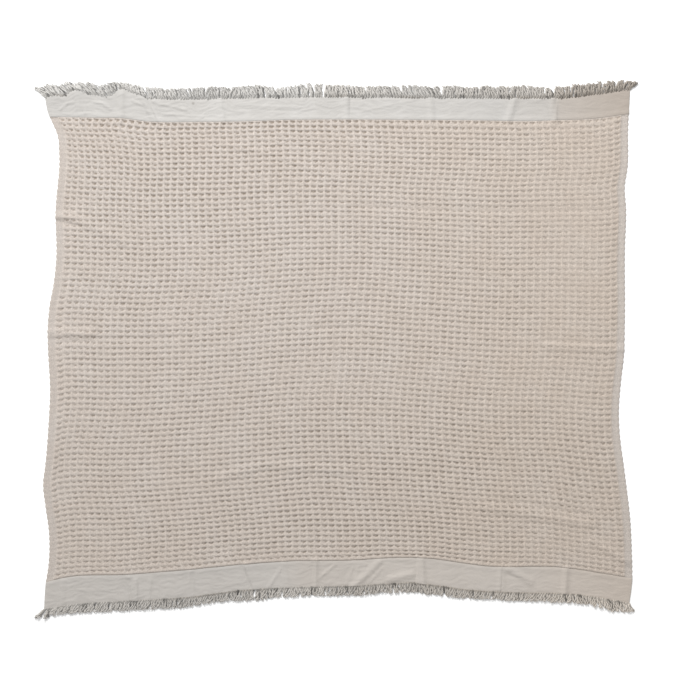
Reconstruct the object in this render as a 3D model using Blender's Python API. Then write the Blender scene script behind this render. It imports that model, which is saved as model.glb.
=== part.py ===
"""Waffle weave cotton blanket, laid out flat, face up.

One loom-woven cloth: a thick waffle field with a thin selvedge down each side and a
thin plain woven band across each end. The cut warp ends stand out past each band as a
short fringe, which a narrow strip of weave holds together at its roots.

Axes: +X along the fringed ends, +Y from the lower end to the upper end, +Z up.
Origin: on the floor under the middle of the blanket. The underside lies on z = 0.
Units: metres. Tables are in millimetres.
"""

import math
import random
from collections import namedtuple

import bmesh
import bpy
import numpy as np
from mathutils import Vector

MM = 0.001

# Thickness of the cloth
FIELD_THICK = 5.0 * MM  # rib crest to rib crest, through the waffle
SELVEDGE_THICK = 2.6 * MM
BAND_THICK = 1.6 * MM

# Woven strips at the edges of the waffle
SELVEDGE_WIDE = 14.0 * MM
STEP_WIDE = 5.0 * MM  # over which the thin cloth swells to the waffle

# Spacing of the stations that carry the shape
COLUMN_STEP = 42.0 * MM
ROW_STEP = 55.0 * MM
BAND_ROWS = 3
NEAREST_STATIONS = 6.0 * MM

# Fringe
LOCKS = 130  # in each fringe
LOCK_SHARE = 0.74  # of the pitch that a lock fills at its root
LOCK_RINGS = (0.5, 1.0)  # shares of a lock's length
LOCK_HEIGHT = 3.4 * MM
LOCK_TIP_HEIGHT = 1.8 * MM
LOCK_TIP_SHARE = 0.72  # of a lock's width that is left at its tip
LOCK_CREST_SHARE = 0.72  # of a lock's width at the floor that is left at its crest
LOCK_SHORTEST = -3.0 * MM  # most that a lock falls short of its neighbours
LOCK_LONGEST = 1.5 * MM  # most that it passes them
SWAY = 0.8 * MM  # most that a lock's tip wanders sideways
STRIP_WIDE = 4.0 * MM  # the strip that holds the locks' roots
STRIP_GAP = 0.45 * MM  # between the cloth and that strip

# Middle of the blanket as it lies, in the frame of the tables below
MIDDLE_X = 1.80 * MM
MIDDLE_Y = 0.68 * MM

# Outline: lines that cross the blanket, at its ends and at the ends of its waffle
Across = namedtuple("Across", "x y")
UPPER_EDGE = [
    Across(-728, 632), Across(-640, 636), Across(-545, 640), Across(-498, 634),
    Across(-420, 628), Across(-328, 629), Across(-190, 632), Across(-15, 633),
    Across(160, 632), Across(335, 631), Across(485, 630), Across(598, 633),
    Across(665, 643), Across(735, 653),
]
UPPER_WAFFLE_EDGE = [
    Across(-712, 582), Across(-590, 580), Across(-535, 579), Across(-475, 571),
    Across(-340, 570), Across(-240, 571), Across(-115, 575), Across(10, 576),
    Across(185, 575), Across(335, 574), Across(485, 572), Across(550, 574),
    Across(648, 578), Across(732, 590),
]
LOWER_WAFFLE_EDGE = [
    Across(-724, -582), Across(-680, -570), Across(-655, -566), Across(-535, -562),
    Across(-355, -548), Across(-235, -536), Across(-115, -528), Across(50, -525),
    Across(125, -520), Across(185, -519), Across(245, -522), Across(305, -531),
    Across(375, -540), Across(560, -543), Across(665, -558), Across(735, -570),
]
LOWER_EDGE = [
    Across(-730, -650), Across(-655, -638), Across(-535, -630), Across(-355, -618),
    Across(-235, -602), Across(-115, -595), Across(35, -591), Across(125, -586),
    Across(185, -583), Across(245, -590), Across(335, -602), Across(485, -609),
    Across(605, -613), Across(665, -622), Across(735, -634),
]
LINES = [LOWER_EDGE, LOWER_WAFFLE_EDGE, UPPER_WAFFLE_EDGE, UPPER_EDGE]

# Outline: the two selvedges
Down = namedtuple("Down", "y x")
LEFT_SIDE = [
    Down(-651, -730), Down(-580, -725), Down(-540, -719), Down(-450, -718),
    Down(-400, -725), Down(-330, -732), Down(-290, -727), Down(-190, -719),
    Down(-100, -715), Down(0, -720), Down(50, -721), Down(110, -716),
    Down(165, -706), Down(220, -700), Down(350, -701), Down(490, -692),
    Down(540, -697), Down(575, -711), Down(605, -723), Down(636, -728),
]
RIGHT_SIDE = [
    Down(-633, 733), Down(-590, 739), Down(-500, 739), Down(-420, 735),
    Down(-350, 727), Down(-280, 718), Down(-230, 711), Down(-150, 707),
    Down(-90, 711), Down(-20, 719), Down(80, 722), Down(250, 722),
    Down(350, 725), Down(412, 722), Down(450, 728), Down(550, 730),
    Down(652, 735),
]

# The waffle rows crest a little above a straight blend of the two waffle edges
ROW_CREST_X = -20.0 * MM
ROW_CREST_HALF = 250.0 * MM
ROW_CREST_RISE = 9.0 * MM

# Along each fringe: how many degrees the locks lean to the right of straight out, and
# how far their tips reach past the cloth
Comb = namedtuple("Comb", "x lean reach")
UPPER_COMB = [
    Comb(-730, -52, 43), Comb(-710, -40, 37), Comb(-675, -24, 33), Comb(-600, -20, 36),
    Comb(-560, -14, 33), Comb(-490, -16, 30), Comb(-380, -4, 31), Comb(-100, 0, 31),
    Comb(60, -6, 32), Comb(240, -12, 32), Comb(290, 6, 34), Comb(420, 0, 31),
    Comb(560, 4, 31), Comb(680, 16, 32), Comb(715, 32, 30), Comb(738, 60, 40),
]
LOWER_COMB = [
    Comb(-730, -56, 42), Comb(-712, -38, 35), Comb(-670, -20, 29), Comb(-620, -10, 28),
    Comb(-520, -4, 28), Comb(-300, 0, 28), Comb(-60, 0, 28), Comb(110, 6, 26),
    Comb(200, 12, 28), Comb(320, 4, 27), Comb(500, 4, 27), Comb(620, 14, 30),
    Comb(690, 20, 33), Comb(736, 30, 33),
]

# Folds, from (x1, y1) to (x2, y2). A fold that rises lifts the cloth off the floor. One
# with a negative rise is a groove pressed into the upper side.
Fold = namedtuple("Fold", "x1 y1 x2 y2 rise half_width")
FOLDS = [
    # creases across the upper band
    Fold(-652, 640, -634, 574, 2.6, 13),
    Fold(-535, 640, -538, 572, 3.0, 14),
    Fold(-486, 632, -452, 574, 3.4, 13),
    Fold(-290, 632, -282, 570, 2.6, 12),
    Fold(24, 633, 30, 578, 3.0, 13),
    Fold(236, 632, 240, 576, 2.4, 12),
    Fold(448, 632, 430, 574, 3.0, 14),
    Fold(543, 634, 546, 572, 3.6, 13),
    # creases across the lower band
    Fold(-685, -644, -683, -578, 2.4, 12),
    Fold(-505, -630, -518, -566, 2.8, 13),
    Fold(-362, -620, -362, -552, 2.6, 12),
    Fold(-200, -602, -226, -538, 3.8, 14),
    Fold(-118, -598, -132, -534, 2.6, 12),
    Fold(-52, -596, -52, -528, 3.8, 13),
    Fold(42, -592, 108, -530, 3.2, 14),
    Fold(136, -572, 190, -560, 3.4, 15),
    Fold(218, -590, 214, -524, 3.6, 13),
    Fold(432, -548, 488, -580, 3.2, 14),
    Fold(571, -614, 575, -548, 3.8, 13),
    # packing creases and ripples in the waffle
    Fold(52, 359, 410, 348, -1.6, 13),
    Fold(410, 348, 712, 350, -1.4, 13),
    Fold(-716, 44, -610, 40, 3.4, 17),
    Fold(-698, 334, -655, 330, 4.0, 16),
    Fold(-655, 330, -530, 268, 2.2, 18),
    Fold(530, 10, 714, 2, 2.4, 18),
    Fold(-300, -322, -184, -286, 2.2, 20),
    Fold(-184, -286, 30, -302, 2.2, 20),
    Fold(360, -392, 640, -436, 2.6, 18),
    Fold(640, -478, 728, -528, 3.2, 16),
]


def smooth(table, at):
    """The second column of a table at `at`, on a smooth cubic through its rows."""
    rows = np.array(sorted(table), float) * MM
    knots, values = rows[:, 0], rows[:, 1]
    slopes = np.gradient(values, knots)
    at = np.clip(np.asarray(at, float), knots[0], knots[-1])
    low = np.clip(np.searchsorted(knots, at, side="right") - 1, 0, len(knots) - 2)
    span = knots[low + 1] - knots[low]
    t = (at - knots[low]) / span
    return (
        values[low] * (1 + 2 * t) * (1 - t) ** 2
        + slopes[low] * span * t * (1 - t) ** 2
        + values[low + 1] * t * t * (3 - 2 * t)
        + slopes[low + 1] * span * t * t * (t - 1)
    )


def ease(t):
    """0 up to t = 0, 1 from t = 1, and a smooth rise between."""
    t = np.clip(t, 0.0, 1.0)
    return t * t * (3 - 2 * t)


# Size of the straight, uncreased blanket: its half width, and the heights of LINES
HALF_WIDE = MM * float(
    np.mean([row.x for row in RIGHT_SIDE]) - np.mean([row.x for row in LEFT_SIDE])
) / 2
LEVELS = np.array([np.mean([row.y for row in line]) for line in LINES]) * MM


def laid(flat_x, flat_y):
    """Where a point of the straight, uncreased blanket lies on the floor, as (x, y)."""
    left, right = smooth(LEFT_SIDE, flat_y), smooth(RIGHT_SIDE, flat_y)
    x = left + (flat_x + HALF_WIDE) / (2 * HALF_WIDE) * (right - left)

    bounds = [smooth(line, x) for line in LINES]
    strip = np.clip(np.searchsorted(LEVELS, flat_y, side="right") - 1, 0, 2)
    part = (flat_y - LEVELS[strip]) / (LEVELS[strip + 1] - LEVELS[strip])
    low, high = np.choose(strip, bounds[:3]), np.choose(strip, bounds[1:])
    y = low + part * (high - low)

    up_waffle = np.clip((flat_y - LEVELS[1]) / (LEVELS[2] - LEVELS[1]), 0, 1)
    crest = np.exp(-(((x - ROW_CREST_X) / ROW_CREST_HALF) ** 2))
    y += ROW_CREST_RISE * crest * np.sin(np.pi * up_waffle) ** 2
    return x, y


def folded(x, y):
    """(lift off the floor, depth pressed into the upper side) at places on the floor."""
    lift, press = np.zeros_like(x), np.zeros_like(x)
    for fold in FOLDS:
        start = np.array([fold.x1, fold.y1]) * MM
        along = np.array([fold.x2, fold.y2]) * MM - start
        t = ((x - start[0]) * along[0] + (y - start[1]) * along[1]) / (along @ along)
        t = np.clip(t, 0, 1)
        away = np.hypot(x - start[0] - t * along[0], y - start[1] - t * along[1])
        height = abs(fold.rise) * MM * (1 - ease(away / (fold.half_width * MM)))
        if fold.rise > 0:
            lift = np.maximum(lift, height)
        else:
            press = np.maximum(press, height)
    return lift, press


def thickness(flat_x, flat_y):
    """Thickness of the cloth: thin selvedges and bands round the thick waffle."""
    inward = HALF_WIDE - np.abs(flat_x) - SELVEDGE_WIDE
    field = SELVEDGE_THICK + (FIELD_THICK - SELVEDGE_THICK) * ease(inward / STEP_WIDE)
    from_band = np.minimum(flat_y - LEVELS[1], LEVELS[2] - flat_y)
    return BAND_THICK + (field - BAND_THICK) * ease(from_band / STEP_WIDE)


def stations(start, end, step, wanted):
    """Places from start to end: the wanted ones, and others about a step apart."""
    placed = [start, end]
    for place in sorted(wanted):
        inside = start < place < end
        if inside and min(abs(place - other) for other in placed) >= NEAREST_STATIONS:
            placed.append(place)
    placed.sort()
    filled = []
    for low, high in zip(placed, placed[1:]):
        parts = max(1, round((high - low) / step))
        filled += [low + (high - low) * k / parts for k in range(parts)]
    return filled + [end]


def fold_stations(upright):
    """Places of the middle and the feet of each fold, across the upright or the level."""
    wanted = []
    for fold in FOLDS:
        if (abs(fold.x2 - fold.x1) < abs(fold.y2 - fold.y1)) != upright:
            continue
        ends = (fold.x1, fold.x2) if upright else (fold.y1, fold.y2)
        foot = fold.half_width + abs(ends[1] - ends[0]) / 2
        wanted += [(sum(ends) / 2 + side * foot) * MM for side in (-1, 0, 1)]
    return wanted


def column_places():
    inner = HALF_WIDE - SELVEDGE_WIDE
    field = inner - STEP_WIDE
    middle = stations(-field, field, COLUMN_STEP, fold_stations(upright=True))
    return [-HALF_WIDE, -inner, *middle, inner, HALF_WIDE]


def row_places():
    lower_edge, lower_waffle, upper_waffle, upper_edge = LEVELS
    waffle = stations(
        lower_waffle + STEP_WIDE,
        upper_waffle - STEP_WIDE,
        ROW_STEP,
        fold_stations(upright=False),
    )
    lower_band = np.linspace(lower_edge, lower_waffle, BAND_ROWS + 1)
    upper_band = np.linspace(upper_waffle, upper_edge, BAND_ROWS + 1)
    return [*lower_band, *waffle, *upper_band]


def grid_of_faces(mesh, x, y, z):
    """Lay a grid of quads through the given places. Returns its rows of corners."""
    corners = [
        [mesh.verts.new(place) for place in zip(*row)]
        for row in zip(x - MIDDLE_X, y - MIDDLE_Y, z)
    ]
    for low, high in zip(corners, corners[1:]):
        for k in range(len(low) - 1):
            mesh.faces.new((low[k], low[k + 1], high[k + 1], high[k]))
    return corners


def close_upwards(mesh, corners, thick):
    """Close an open grid into a solid sheet, `thick` above each of its corners."""
    layer = mesh.verts.layers.float["thick"]
    for row, values in zip(corners, thick):
        for corner, value in zip(row, values):
            corner[layer] = value
    copied = bmesh.ops.extrude_face_region(mesh, geom=mesh.faces[:], use_keep_orig=True)
    for corner in copied["geom"]:
        if isinstance(corner, bmesh.types.BMVert):
            corner.co.z += corner[layer]
    bmesh.ops.recalc_face_normals(mesh, faces=mesh.faces[:])


def new_mesh():
    """An empty mesh whose corners can carry a thickness and the number of a lock."""
    mesh = bmesh.new()
    mesh.verts.layers.float.new("thick")
    mesh.verts.layers.int.new("lock")
    return mesh


def cloth():
    """The woven cloth, with its bands, selvedges, outline and folds."""
    flat_x, flat_y = np.meshgrid(column_places(), row_places())
    x, y = laid(flat_x, flat_y)
    lift, press = folded(x, y)
    mesh = new_mesh()
    corners = grid_of_faces(mesh, x, y, lift)
    close_upwards(mesh, corners, thickness(flat_x, flat_y) - press)
    return mesh


def grow_lock(mesh, face, outward, lean, reach, sway):
    """Draw a lock of yarns out of a face of the strip, level along the floor."""
    way = Vector((math.sin(lean), outward * math.cos(lean), 0))
    aside = Vector((math.cos(lean), -outward * math.sin(lean), 0))
    root = face.calc_center_median()
    root.z = 0
    root_half = LOCK_SHARE * HALF_WIDE / LOCKS
    for share in LOCK_RINGS:
        face = bmesh.ops.extrude_discrete_faces(mesh, faces=[face])["faces"][0]
        before = face.calc_center_median()
        centre = root + way * reach * share + aside * sway * share**2
        half = root_half * (1 - (1 - LOCK_TIP_SHARE) * share**2)
        height = LOCK_HEIGHT + (LOCK_TIP_HEIGHT - LOCK_HEIGHT) * share**3
        for corner in face.verts:
            side = math.copysign(half, (corner.co - before).dot(aside))
            crest = corner.co.z > before.z
            corner.co = centre + aside * side * (LOCK_CREST_SHARE if crest else 1)
            corner.co.z = height if crest else 0


def fringe(comb, level, outward, seed):
    """The strip along one end of the cloth, and the fringe's locks growing out of it."""
    pitch = 2 * HALF_WIDE / LOCKS
    inset = pitch * (1 - LOCK_SHARE) / 2
    flat_x = [-HALF_WIDE]
    for number in range(LOCKS):
        start = -HALF_WIDE + number * pitch
        flat_x += [start + inset, start + pitch - inset]
    flat_x = np.array([*flat_x, HALF_WIDE])

    x, _ = laid(flat_x, np.full_like(flat_x, level))
    columns = np.array(column_places())
    cloth_edge = laid(columns, np.full_like(columns, level))
    inner = np.interp(x, *cloth_edge) + outward * STRIP_GAP
    outer = inner + outward * STRIP_WIDE

    mesh = new_mesh()
    corners = grid_of_faces(
        mesh, np.array([x, x]), np.array([inner, outer]), np.zeros((2, len(x)))
    )
    lock = mesh.verts.layers.int["lock"]
    for number in range(LOCKS):
        for corner in corners[1][1 + 2 * number : 3 + 2 * number]:
            corner[lock] = number + 1
    close_upwards(mesh, corners, np.full((2, len(x)), BAND_THICK))

    leans = [(row.x, row.lean) for row in comb]
    reaches = [(row.x, row.reach) for row in comb]
    for face in mesh.faces[:]:
        numbers = {corner[lock] for corner in face.verts}
        if len(numbers) > 1 or 0 in numbers:
            continue
        chance = random.Random(f"{seed} {numbers}")
        place = face.calc_center_median().x + MIDDLE_X
        lean = math.radians(float(smooth(leans, place)) / MM)
        reach = float(smooth(reaches, place)) - STRIP_WIDE
        reach += chance.uniform(LOCK_SHORTEST, LOCK_LONGEST)
        grow_lock(mesh, face, outward, lean, reach, chance.uniform(-SWAY, SWAY))
    return mesh


def cotton(name, colour):
    """A matt cotton material."""
    made = bpy.data.materials.new(name)
    made.use_nodes = True
    shader = made.node_tree.nodes["Principled BSDF"]
    shader.inputs["Base Color"].default_value = (*colour, 1.0)
    shader.inputs["Roughness"].default_value = 0.9
    shader.inputs["Metallic"].default_value = 0.0
    return made


def add_piece(name, mesh, material):
    """Turn a finished mesh into an object of the scene."""
    data = bpy.data.meshes.new(name)
    mesh.to_mesh(data)
    mesh.free()
    data.materials.append(material)
    bpy.context.scene.collection.objects.link(bpy.data.objects.new(name, data))


def main():
    for old in list(bpy.data.objects):
        bpy.data.objects.remove(old)
    waffle_cotton = cotton("waffle_cotton", (0.60, 0.52, 0.45))
    fringe_cotton = cotton("fringe_cotton", (0.52, 0.51, 0.48))
    add_piece("blanket_cloth", cloth(), waffle_cotton)
    add_piece("fringe_upper", fringe(UPPER_COMB, LEVELS[3], 1, "upper"), fringe_cotton)
    add_piece("fringe_lower", fringe(LOWER_COMB, LEVELS[0], -1, "lower"), fringe_cotton)


main()
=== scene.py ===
# %% [markdown]
# # A waffle weave cotton blanket, laid out flat
#
# The real blanket is one cloth, woven in one go on one loom. Most of it is a thick
# waffle: long floats of yarn draw up into a grid of raised ribs with a hollow in each
# cell. Down both sides runs a narrow plain selvedge. Across both ends the weave changes
# to a thin, flat, creased band, and the warp ends that stand out past each band are cut
# off short as a fringe.
#
# This lesson dresses the solids of that blanket. They arrive as a fixed frame, and each
# new piece is made in the same frame, in metres, so nothing has to be fitted by eye.

from collections import namedtuple

import bpy
import numpy as np
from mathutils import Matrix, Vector


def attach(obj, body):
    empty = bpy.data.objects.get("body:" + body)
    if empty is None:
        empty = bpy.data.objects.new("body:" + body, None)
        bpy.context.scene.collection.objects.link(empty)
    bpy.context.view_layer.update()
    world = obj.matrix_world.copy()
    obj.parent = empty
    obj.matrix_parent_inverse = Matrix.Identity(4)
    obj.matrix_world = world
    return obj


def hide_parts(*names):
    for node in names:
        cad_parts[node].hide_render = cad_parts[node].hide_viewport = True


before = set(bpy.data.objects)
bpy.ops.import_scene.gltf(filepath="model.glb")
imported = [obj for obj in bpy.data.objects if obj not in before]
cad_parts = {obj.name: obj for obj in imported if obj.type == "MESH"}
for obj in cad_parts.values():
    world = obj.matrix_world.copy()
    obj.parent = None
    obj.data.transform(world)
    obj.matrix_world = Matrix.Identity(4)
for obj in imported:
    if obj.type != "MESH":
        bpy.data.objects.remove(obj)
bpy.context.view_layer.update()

# %% [markdown]
# ## Sizes
#
# A cloth is easier to weave in numbers than to sculpt: every rib has the same size until
# the loom, the wash and the floor pull it about. So the sizes come first, in metres, and
# the unevenness is added to them afterwards. The tables further down are in millimetres,
# because that is how a cloth is measured with a tape.

# %% Sizes of the weave
MM = 0.001
TURN = 6.2832  # radians in a full turn

COLUMNS = 80  # waffle cells across the blanket
ROWS = 85  # waffle cells from band to band, the first and the last of them cut
LOWER_CUT = 0.70  # share of the first row that the lower band takes away
UPPER_CUT = 0.06  # share of the last row that the upper band takes away
CUTS = (21, 42, 63)  # rows at which one piece of the waffle ends and the next begins

CREST = 5.0 * MM  # thickness of the cloth over a rib
HOLLOW = 1.1 * MM  # thickness at the bottom of a hollow
SELVEDGE = 2.6 * MM
BAND = 1.6 * MM
UPPER_JOIN = 4.2 * MM  # thickness where a band is woven to the waffle
LOWER_JOIN = 3.0 * MM
BACK = 1.1 * MM  # how far the ribs stand clear of the floor underneath

SELVEDGE_WIDE = 19.0 * MM
COLUMN_SKEW = -0.012  # columns are drawn closer together at the left
ROW_SKEW = 0.05  # rows are drawn closer together near the bands

# %% [markdown]
# ## The outline
#
# Nobody lays a blanket down perfectly square. Its sides draw in and swell out by a few
# centimetres, and the ends wander. Some measured places along each line are enough to
# hold this, with a smooth cubic through them. The alternative, a cloth simulation, would
# give some blanket's outline but not this one's.
#
# Four lines cross the blanket: the two ends of the cloth and the two ends of its waffle.
# Two more run down it, one for each selvedge.

# %% Measured lines of the outline
Across = namedtuple("Across", "x y")
UPPER_EDGE = [
    Across(-728, 632), Across(-640, 636), Across(-545, 640), Across(-498, 634),
    Across(-420, 628), Across(-328, 629), Across(-190, 632), Across(-15, 633),
    Across(160, 632), Across(335, 631), Across(485, 630), Across(598, 633),
    Across(665, 643), Across(735, 653),
]
UPPER_WAFFLE_EDGE = [
    Across(-712, 582), Across(-590, 580), Across(-535, 579), Across(-475, 571),
    Across(-340, 570), Across(-240, 571), Across(-115, 575), Across(10, 576),
    Across(185, 575), Across(335, 574), Across(485, 572), Across(550, 574),
    Across(648, 578), Across(732, 590),
]
LOWER_WAFFLE_EDGE = [
    Across(-724, -582), Across(-680, -570), Across(-655, -566), Across(-535, -562),
    Across(-355, -548), Across(-235, -536), Across(-115, -528), Across(50, -525),
    Across(125, -520), Across(185, -519), Across(245, -522), Across(305, -531),
    Across(375, -540), Across(560, -543), Across(665, -558), Across(735, -570),
]
LOWER_EDGE = [
    Across(-730, -650), Across(-655, -638), Across(-535, -630), Across(-355, -618),
    Across(-235, -602), Across(-115, -595), Across(35, -591), Across(125, -586),
    Across(185, -583), Across(245, -590), Across(335, -602), Across(485, -609),
    Across(605, -613), Across(665, -622), Across(735, -634),
]
LINES = [LOWER_EDGE, LOWER_WAFFLE_EDGE, UPPER_WAFFLE_EDGE, UPPER_EDGE]

Down = namedtuple("Down", "y x")
LEFT_SIDE = [
    Down(-651, -730), Down(-580, -725), Down(-540, -719), Down(-450, -718),
    Down(-400, -725), Down(-330, -732), Down(-290, -727), Down(-190, -719),
    Down(-100, -715), Down(0, -720), Down(50, -721), Down(110, -716),
    Down(165, -706), Down(220, -700), Down(350, -701), Down(490, -692),
    Down(540, -697), Down(572, -711), Down(593, -720), Down(615, -725), Down(636, -728),
]
RIGHT_SIDE = [
    Down(-633, 733), Down(-590, 739), Down(-500, 739), Down(-420, 735),
    Down(-350, 727), Down(-280, 718), Down(-230, 711), Down(-150, 707),
    Down(-90, 711), Down(-20, 719), Down(80, 722), Down(250, 722),
    Down(350, 725), Down(412, 722), Down(450, 728), Down(550, 730),
    Down(652, 735),
]

# Where the middle of the solids lies among the tables' numbers
MIDDLE = Vector((1.80, 0.68, 0.0)) * MM


def smooth(table, at):
    """The second column of a table at `at`, on a smooth cubic through its rows."""
    rows = np.array(sorted(table), float) * MM
    knots, values = rows[:, 0], rows[:, 1]
    slopes = np.gradient(values, knots)
    at = np.clip(np.asarray(at, float), knots[0], knots[-1])
    low = np.clip(np.searchsorted(knots, at, side="right") - 1, 0, len(knots) - 2)
    span = knots[low + 1] - knots[low]
    t = (at - knots[low]) / span
    return (
        values[low] * (1 + 2 * t) * (1 - t) ** 2
        + slopes[low] * span * t * (1 - t) ** 2
        + values[low + 1] * t * t * (3 - 2 * t)
        + slopes[low + 1] * span * t * t * (t - 1)
    )


def ease(t):
    """0 up to t = 0, 1 from t = 1, and a smooth rise between."""
    t = np.clip(t, 0.0, 1.0)
    return t * t * (3 - 2 * t)


def rounded(edge, over, low):
    """A rounded rim: `low` at the very edge, and 1 from `over` inwards."""
    return low + (1 - low) * np.sqrt(1 - (1 - np.clip(edge / over, 0, 1)) ** 2)


HALF_WIDE = MM * float(
    np.mean([row.x for row in RIGHT_SIDE]) - np.mean([row.x for row in LEFT_SIDE])
) / 2
LEVELS = np.array([np.mean([row.y for row in line]) for line in LINES]) * MM
print("cloth", round(2 * HALF_WIDE, 3), "m wide and", round(LEVELS[3] - LEVELS[0], 3), "m long")

# %% [markdown]
# ## From the straight cloth to the floor
#
# `laid` carries a point of the straight, uncreased cloth to its place on the floor. It
# stretches each crosswise line between the two selvedges, and blends the rows between
# the four lines that cross the blanket. Everything woven later goes through it, so ribs,
# bands and fringe all meet.
#
# Two things are finer than the solids. Hands have pushed the waffle about inside its
# outline, so its rows sag here and crest there, and the upper band ruffles outwards near
# its left end, where its edge is longer than the waffle that it is woven to. A `Push` is
# a soft oval patch, its middle and its reach both ways, and how far the cloth there has
# moved, to the right and up the blanket. Some patches have their middle past the edge. A
# `Ruffle` row says how far the edge stands out at that place.

# %% Lay the straight cloth on the floor
Push = namedtuple("Push", "x y wide long right up")
PUSHES = [
    Push(-555, 560, 110, 70, -9, 3.5), Push(-480, 555, 155, 470, -5, -8),
    Push(-255, 495, 345, 165, -11, 7), Push(320, 395, 205, 110, -3, -2.5),
    Push(-435, 265, 105, 515, -0.5, 7), Push(110, 220, 890, 1050, 2.5, -5.5),
    Push(45, 75, 85, 255, -2.5, 4.5), Push(-725, -75, 110, 445, 6, 6.5),
    Push(0, -150, 545, 130, -7.5, 3), Push(-550, -265, 235, 75, -11, 1),
    Push(-30, -345, 105, 105, 1, 8), Push(600, -400, 85, 115, 2, -7),
    Push(-620, -535, 100, 115, -1.5, -4.5), Push(390, -540, 125, 480, 3, 4),
    Push(220, -750, 115, 910, 0.5, -5.5), Push(-230, -920, 450, 665, -17.5, 3.5),
]
Ruffle = namedtuple("Ruffle", "x out")
RUFFLES = [
    Ruffle(-720, 0), Ruffle(-706, 4), Ruffle(-672, 4), Ruffle(-661, 13), Ruffle(-647, 15.5),
    Ruffle(-633, 13), Ruffle(-622, 3), Ruffle(-608, 0), Ruffle(-555, 0), Ruffle(-543, 11),
    Ruffle(-531, 16.5), Ruffle(-517, 13.5), Ruffle(-496, 6), Ruffle(-474, -1), Ruffle(-452, 0),
]
ROW_CREST_X = -20.0 * MM  # the rows of the waffle arch up a little, most about here
ROW_CREST_HALF = 250.0 * MM  # and much less at this distance to either side
ROW_CREST_RISE = 9.0 * MM
HELD_NEAR = 28.0 * MM  # pushes fade out this close to the selvedges and the bands


def between_sides(flat_x, y):
    """How far across the floor a point lies when its row is at y."""
    left, right = smooth(LEFT_SIDE, y), smooth(RIGHT_SIDE, y)
    return left + (flat_x + HALF_WIDE) / (2 * HALF_WIDE) * (right - left)


def between_lines(flat_y, x):
    """How far up the floor a point lies when its column is at x."""
    bounds = [smooth(line, x) for line in LINES]
    strip = np.clip(np.searchsorted(LEVELS, flat_y, side="right") - 1, 0, 2)
    part = (flat_y - LEVELS[strip]) / (LEVELS[strip + 1] - LEVELS[strip])
    low, high = np.choose(strip, bounds[:3]), np.choose(strip, bounds[1:])
    return low + part * (high - low)


def laid(flat_x, flat_y):
    """Where a point of the straight, uncreased blanket lies on the floor, as (x, y)."""
    x = between_sides(flat_x, flat_y)
    y = between_lines(flat_y, x)
    x = between_sides(flat_x, y)

    up_waffle = np.clip((flat_y - LEVELS[1]) / (LEVELS[2] - LEVELS[1]), 0, 1)
    crest = np.exp(-(((x - ROW_CREST_X) / ROW_CREST_HALF) ** 2))
    y += ROW_CREST_RISE * crest * np.sin(np.pi * up_waffle) ** 2

    from_band = np.minimum(flat_y - LEVELS[1], LEVELS[2] - flat_y)
    from_side = HALF_WIDE - SELVEDGE_WIDE - np.abs(flat_x)
    free = ease(from_band / HELD_NEAR) * ease(from_side / HELD_NEAR) * MM
    right, up = np.zeros_like(x), np.zeros_like(x)
    for push in PUSHES:
        far_x = (x - push.x * MM) / (push.wide * MM)
        far_y = (y - push.y * MM) / (push.long * MM)
        strength = np.exp(-(far_x**2) - far_y**2)
        right += push.right * strength
        up += push.up * strength

    up_band = ease((flat_y - LEVELS[2]) / (LEVELS[3] - LEVELS[2]))
    out = smooth(RUFFLES, x) * up_band
    return x + right * free, y + up * free + out


# %% [markdown]
# ## Folds and creases
#
# A blanket that has been packed keeps the marks. The large ones are the same soft folds
# as in the solids. The finer ones are listed here, each with its own length, height and
# width. A positive rise is a ridge that lifts the cloth, and a negative one is a trough
# pressed into its upper side.
#
# One cross-section serves them all: a smooth hump that is flat at its crest and runs out
# into the cloth without an edge. Where two of them meet, the higher one wins, so they
# join without adding up to a peak.

# %% Tables of folds and creases
Fold = namedtuple("Fold", "x1 y1 x2 y2 rise half_width")
FOLDS = [
    # creases across the upper band
    Fold(-652, 640, -634, 574, 2.6, 13),
    Fold(-535, 640, -538, 572, 3.0, 14),
    Fold(-486, 632, -452, 574, 3.4, 13),
    Fold(-290, 632, -282, 570, 2.6, 12),
    Fold(24, 633, 30, 578, 3.0, 13),
    Fold(236, 632, 240, 576, 2.4, 12),
    Fold(448, 632, 430, 574, 3.0, 14),
    Fold(543, 634, 546, 572, 3.6, 13),
    # creases across the lower band
    Fold(-685, -644, -683, -578, 2.4, 12),
    Fold(-505, -630, -518, -566, 2.8, 13),
    Fold(-362, -620, -362, -552, 2.6, 12),
    Fold(-200, -602, -226, -538, 3.8, 14),
    Fold(-118, -598, -132, -534, 2.6, 12),
    Fold(-52, -596, -52, -528, 3.8, 13),
    Fold(42, -592, 108, -530, 3.2, 14),
    Fold(136, -572, 190, -560, 3.4, 15),
    Fold(218, -590, 214, -524, 3.6, 13),
    Fold(432, -548, 488, -580, 3.2, 14),
    Fold(571, -614, 575, -548, 3.8, 13),
    # packing creases and ripples in the waffle
    Fold(52, 359, 410, 348, -1.6, 13),
    Fold(410, 348, 712, 350, -1.4, 13),
    Fold(-716, 44, -610, 40, 3.4, 17),
    Fold(-698, 334, -655, 330, 4.0, 16),
    Fold(-655, 330, -530, 268, 2.2, 18),
    Fold(530, 10, 714, 2, 2.4, 18),
    Fold(-300, -322, -184, -286, 2.2, 20),
    Fold(-184, -286, 30, -302, 2.2, 20),
    Fold(360, -392, 640, -436, 2.6, 18),
    Fold(640, -478, 728, -528, 3.2, 16),
]
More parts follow.
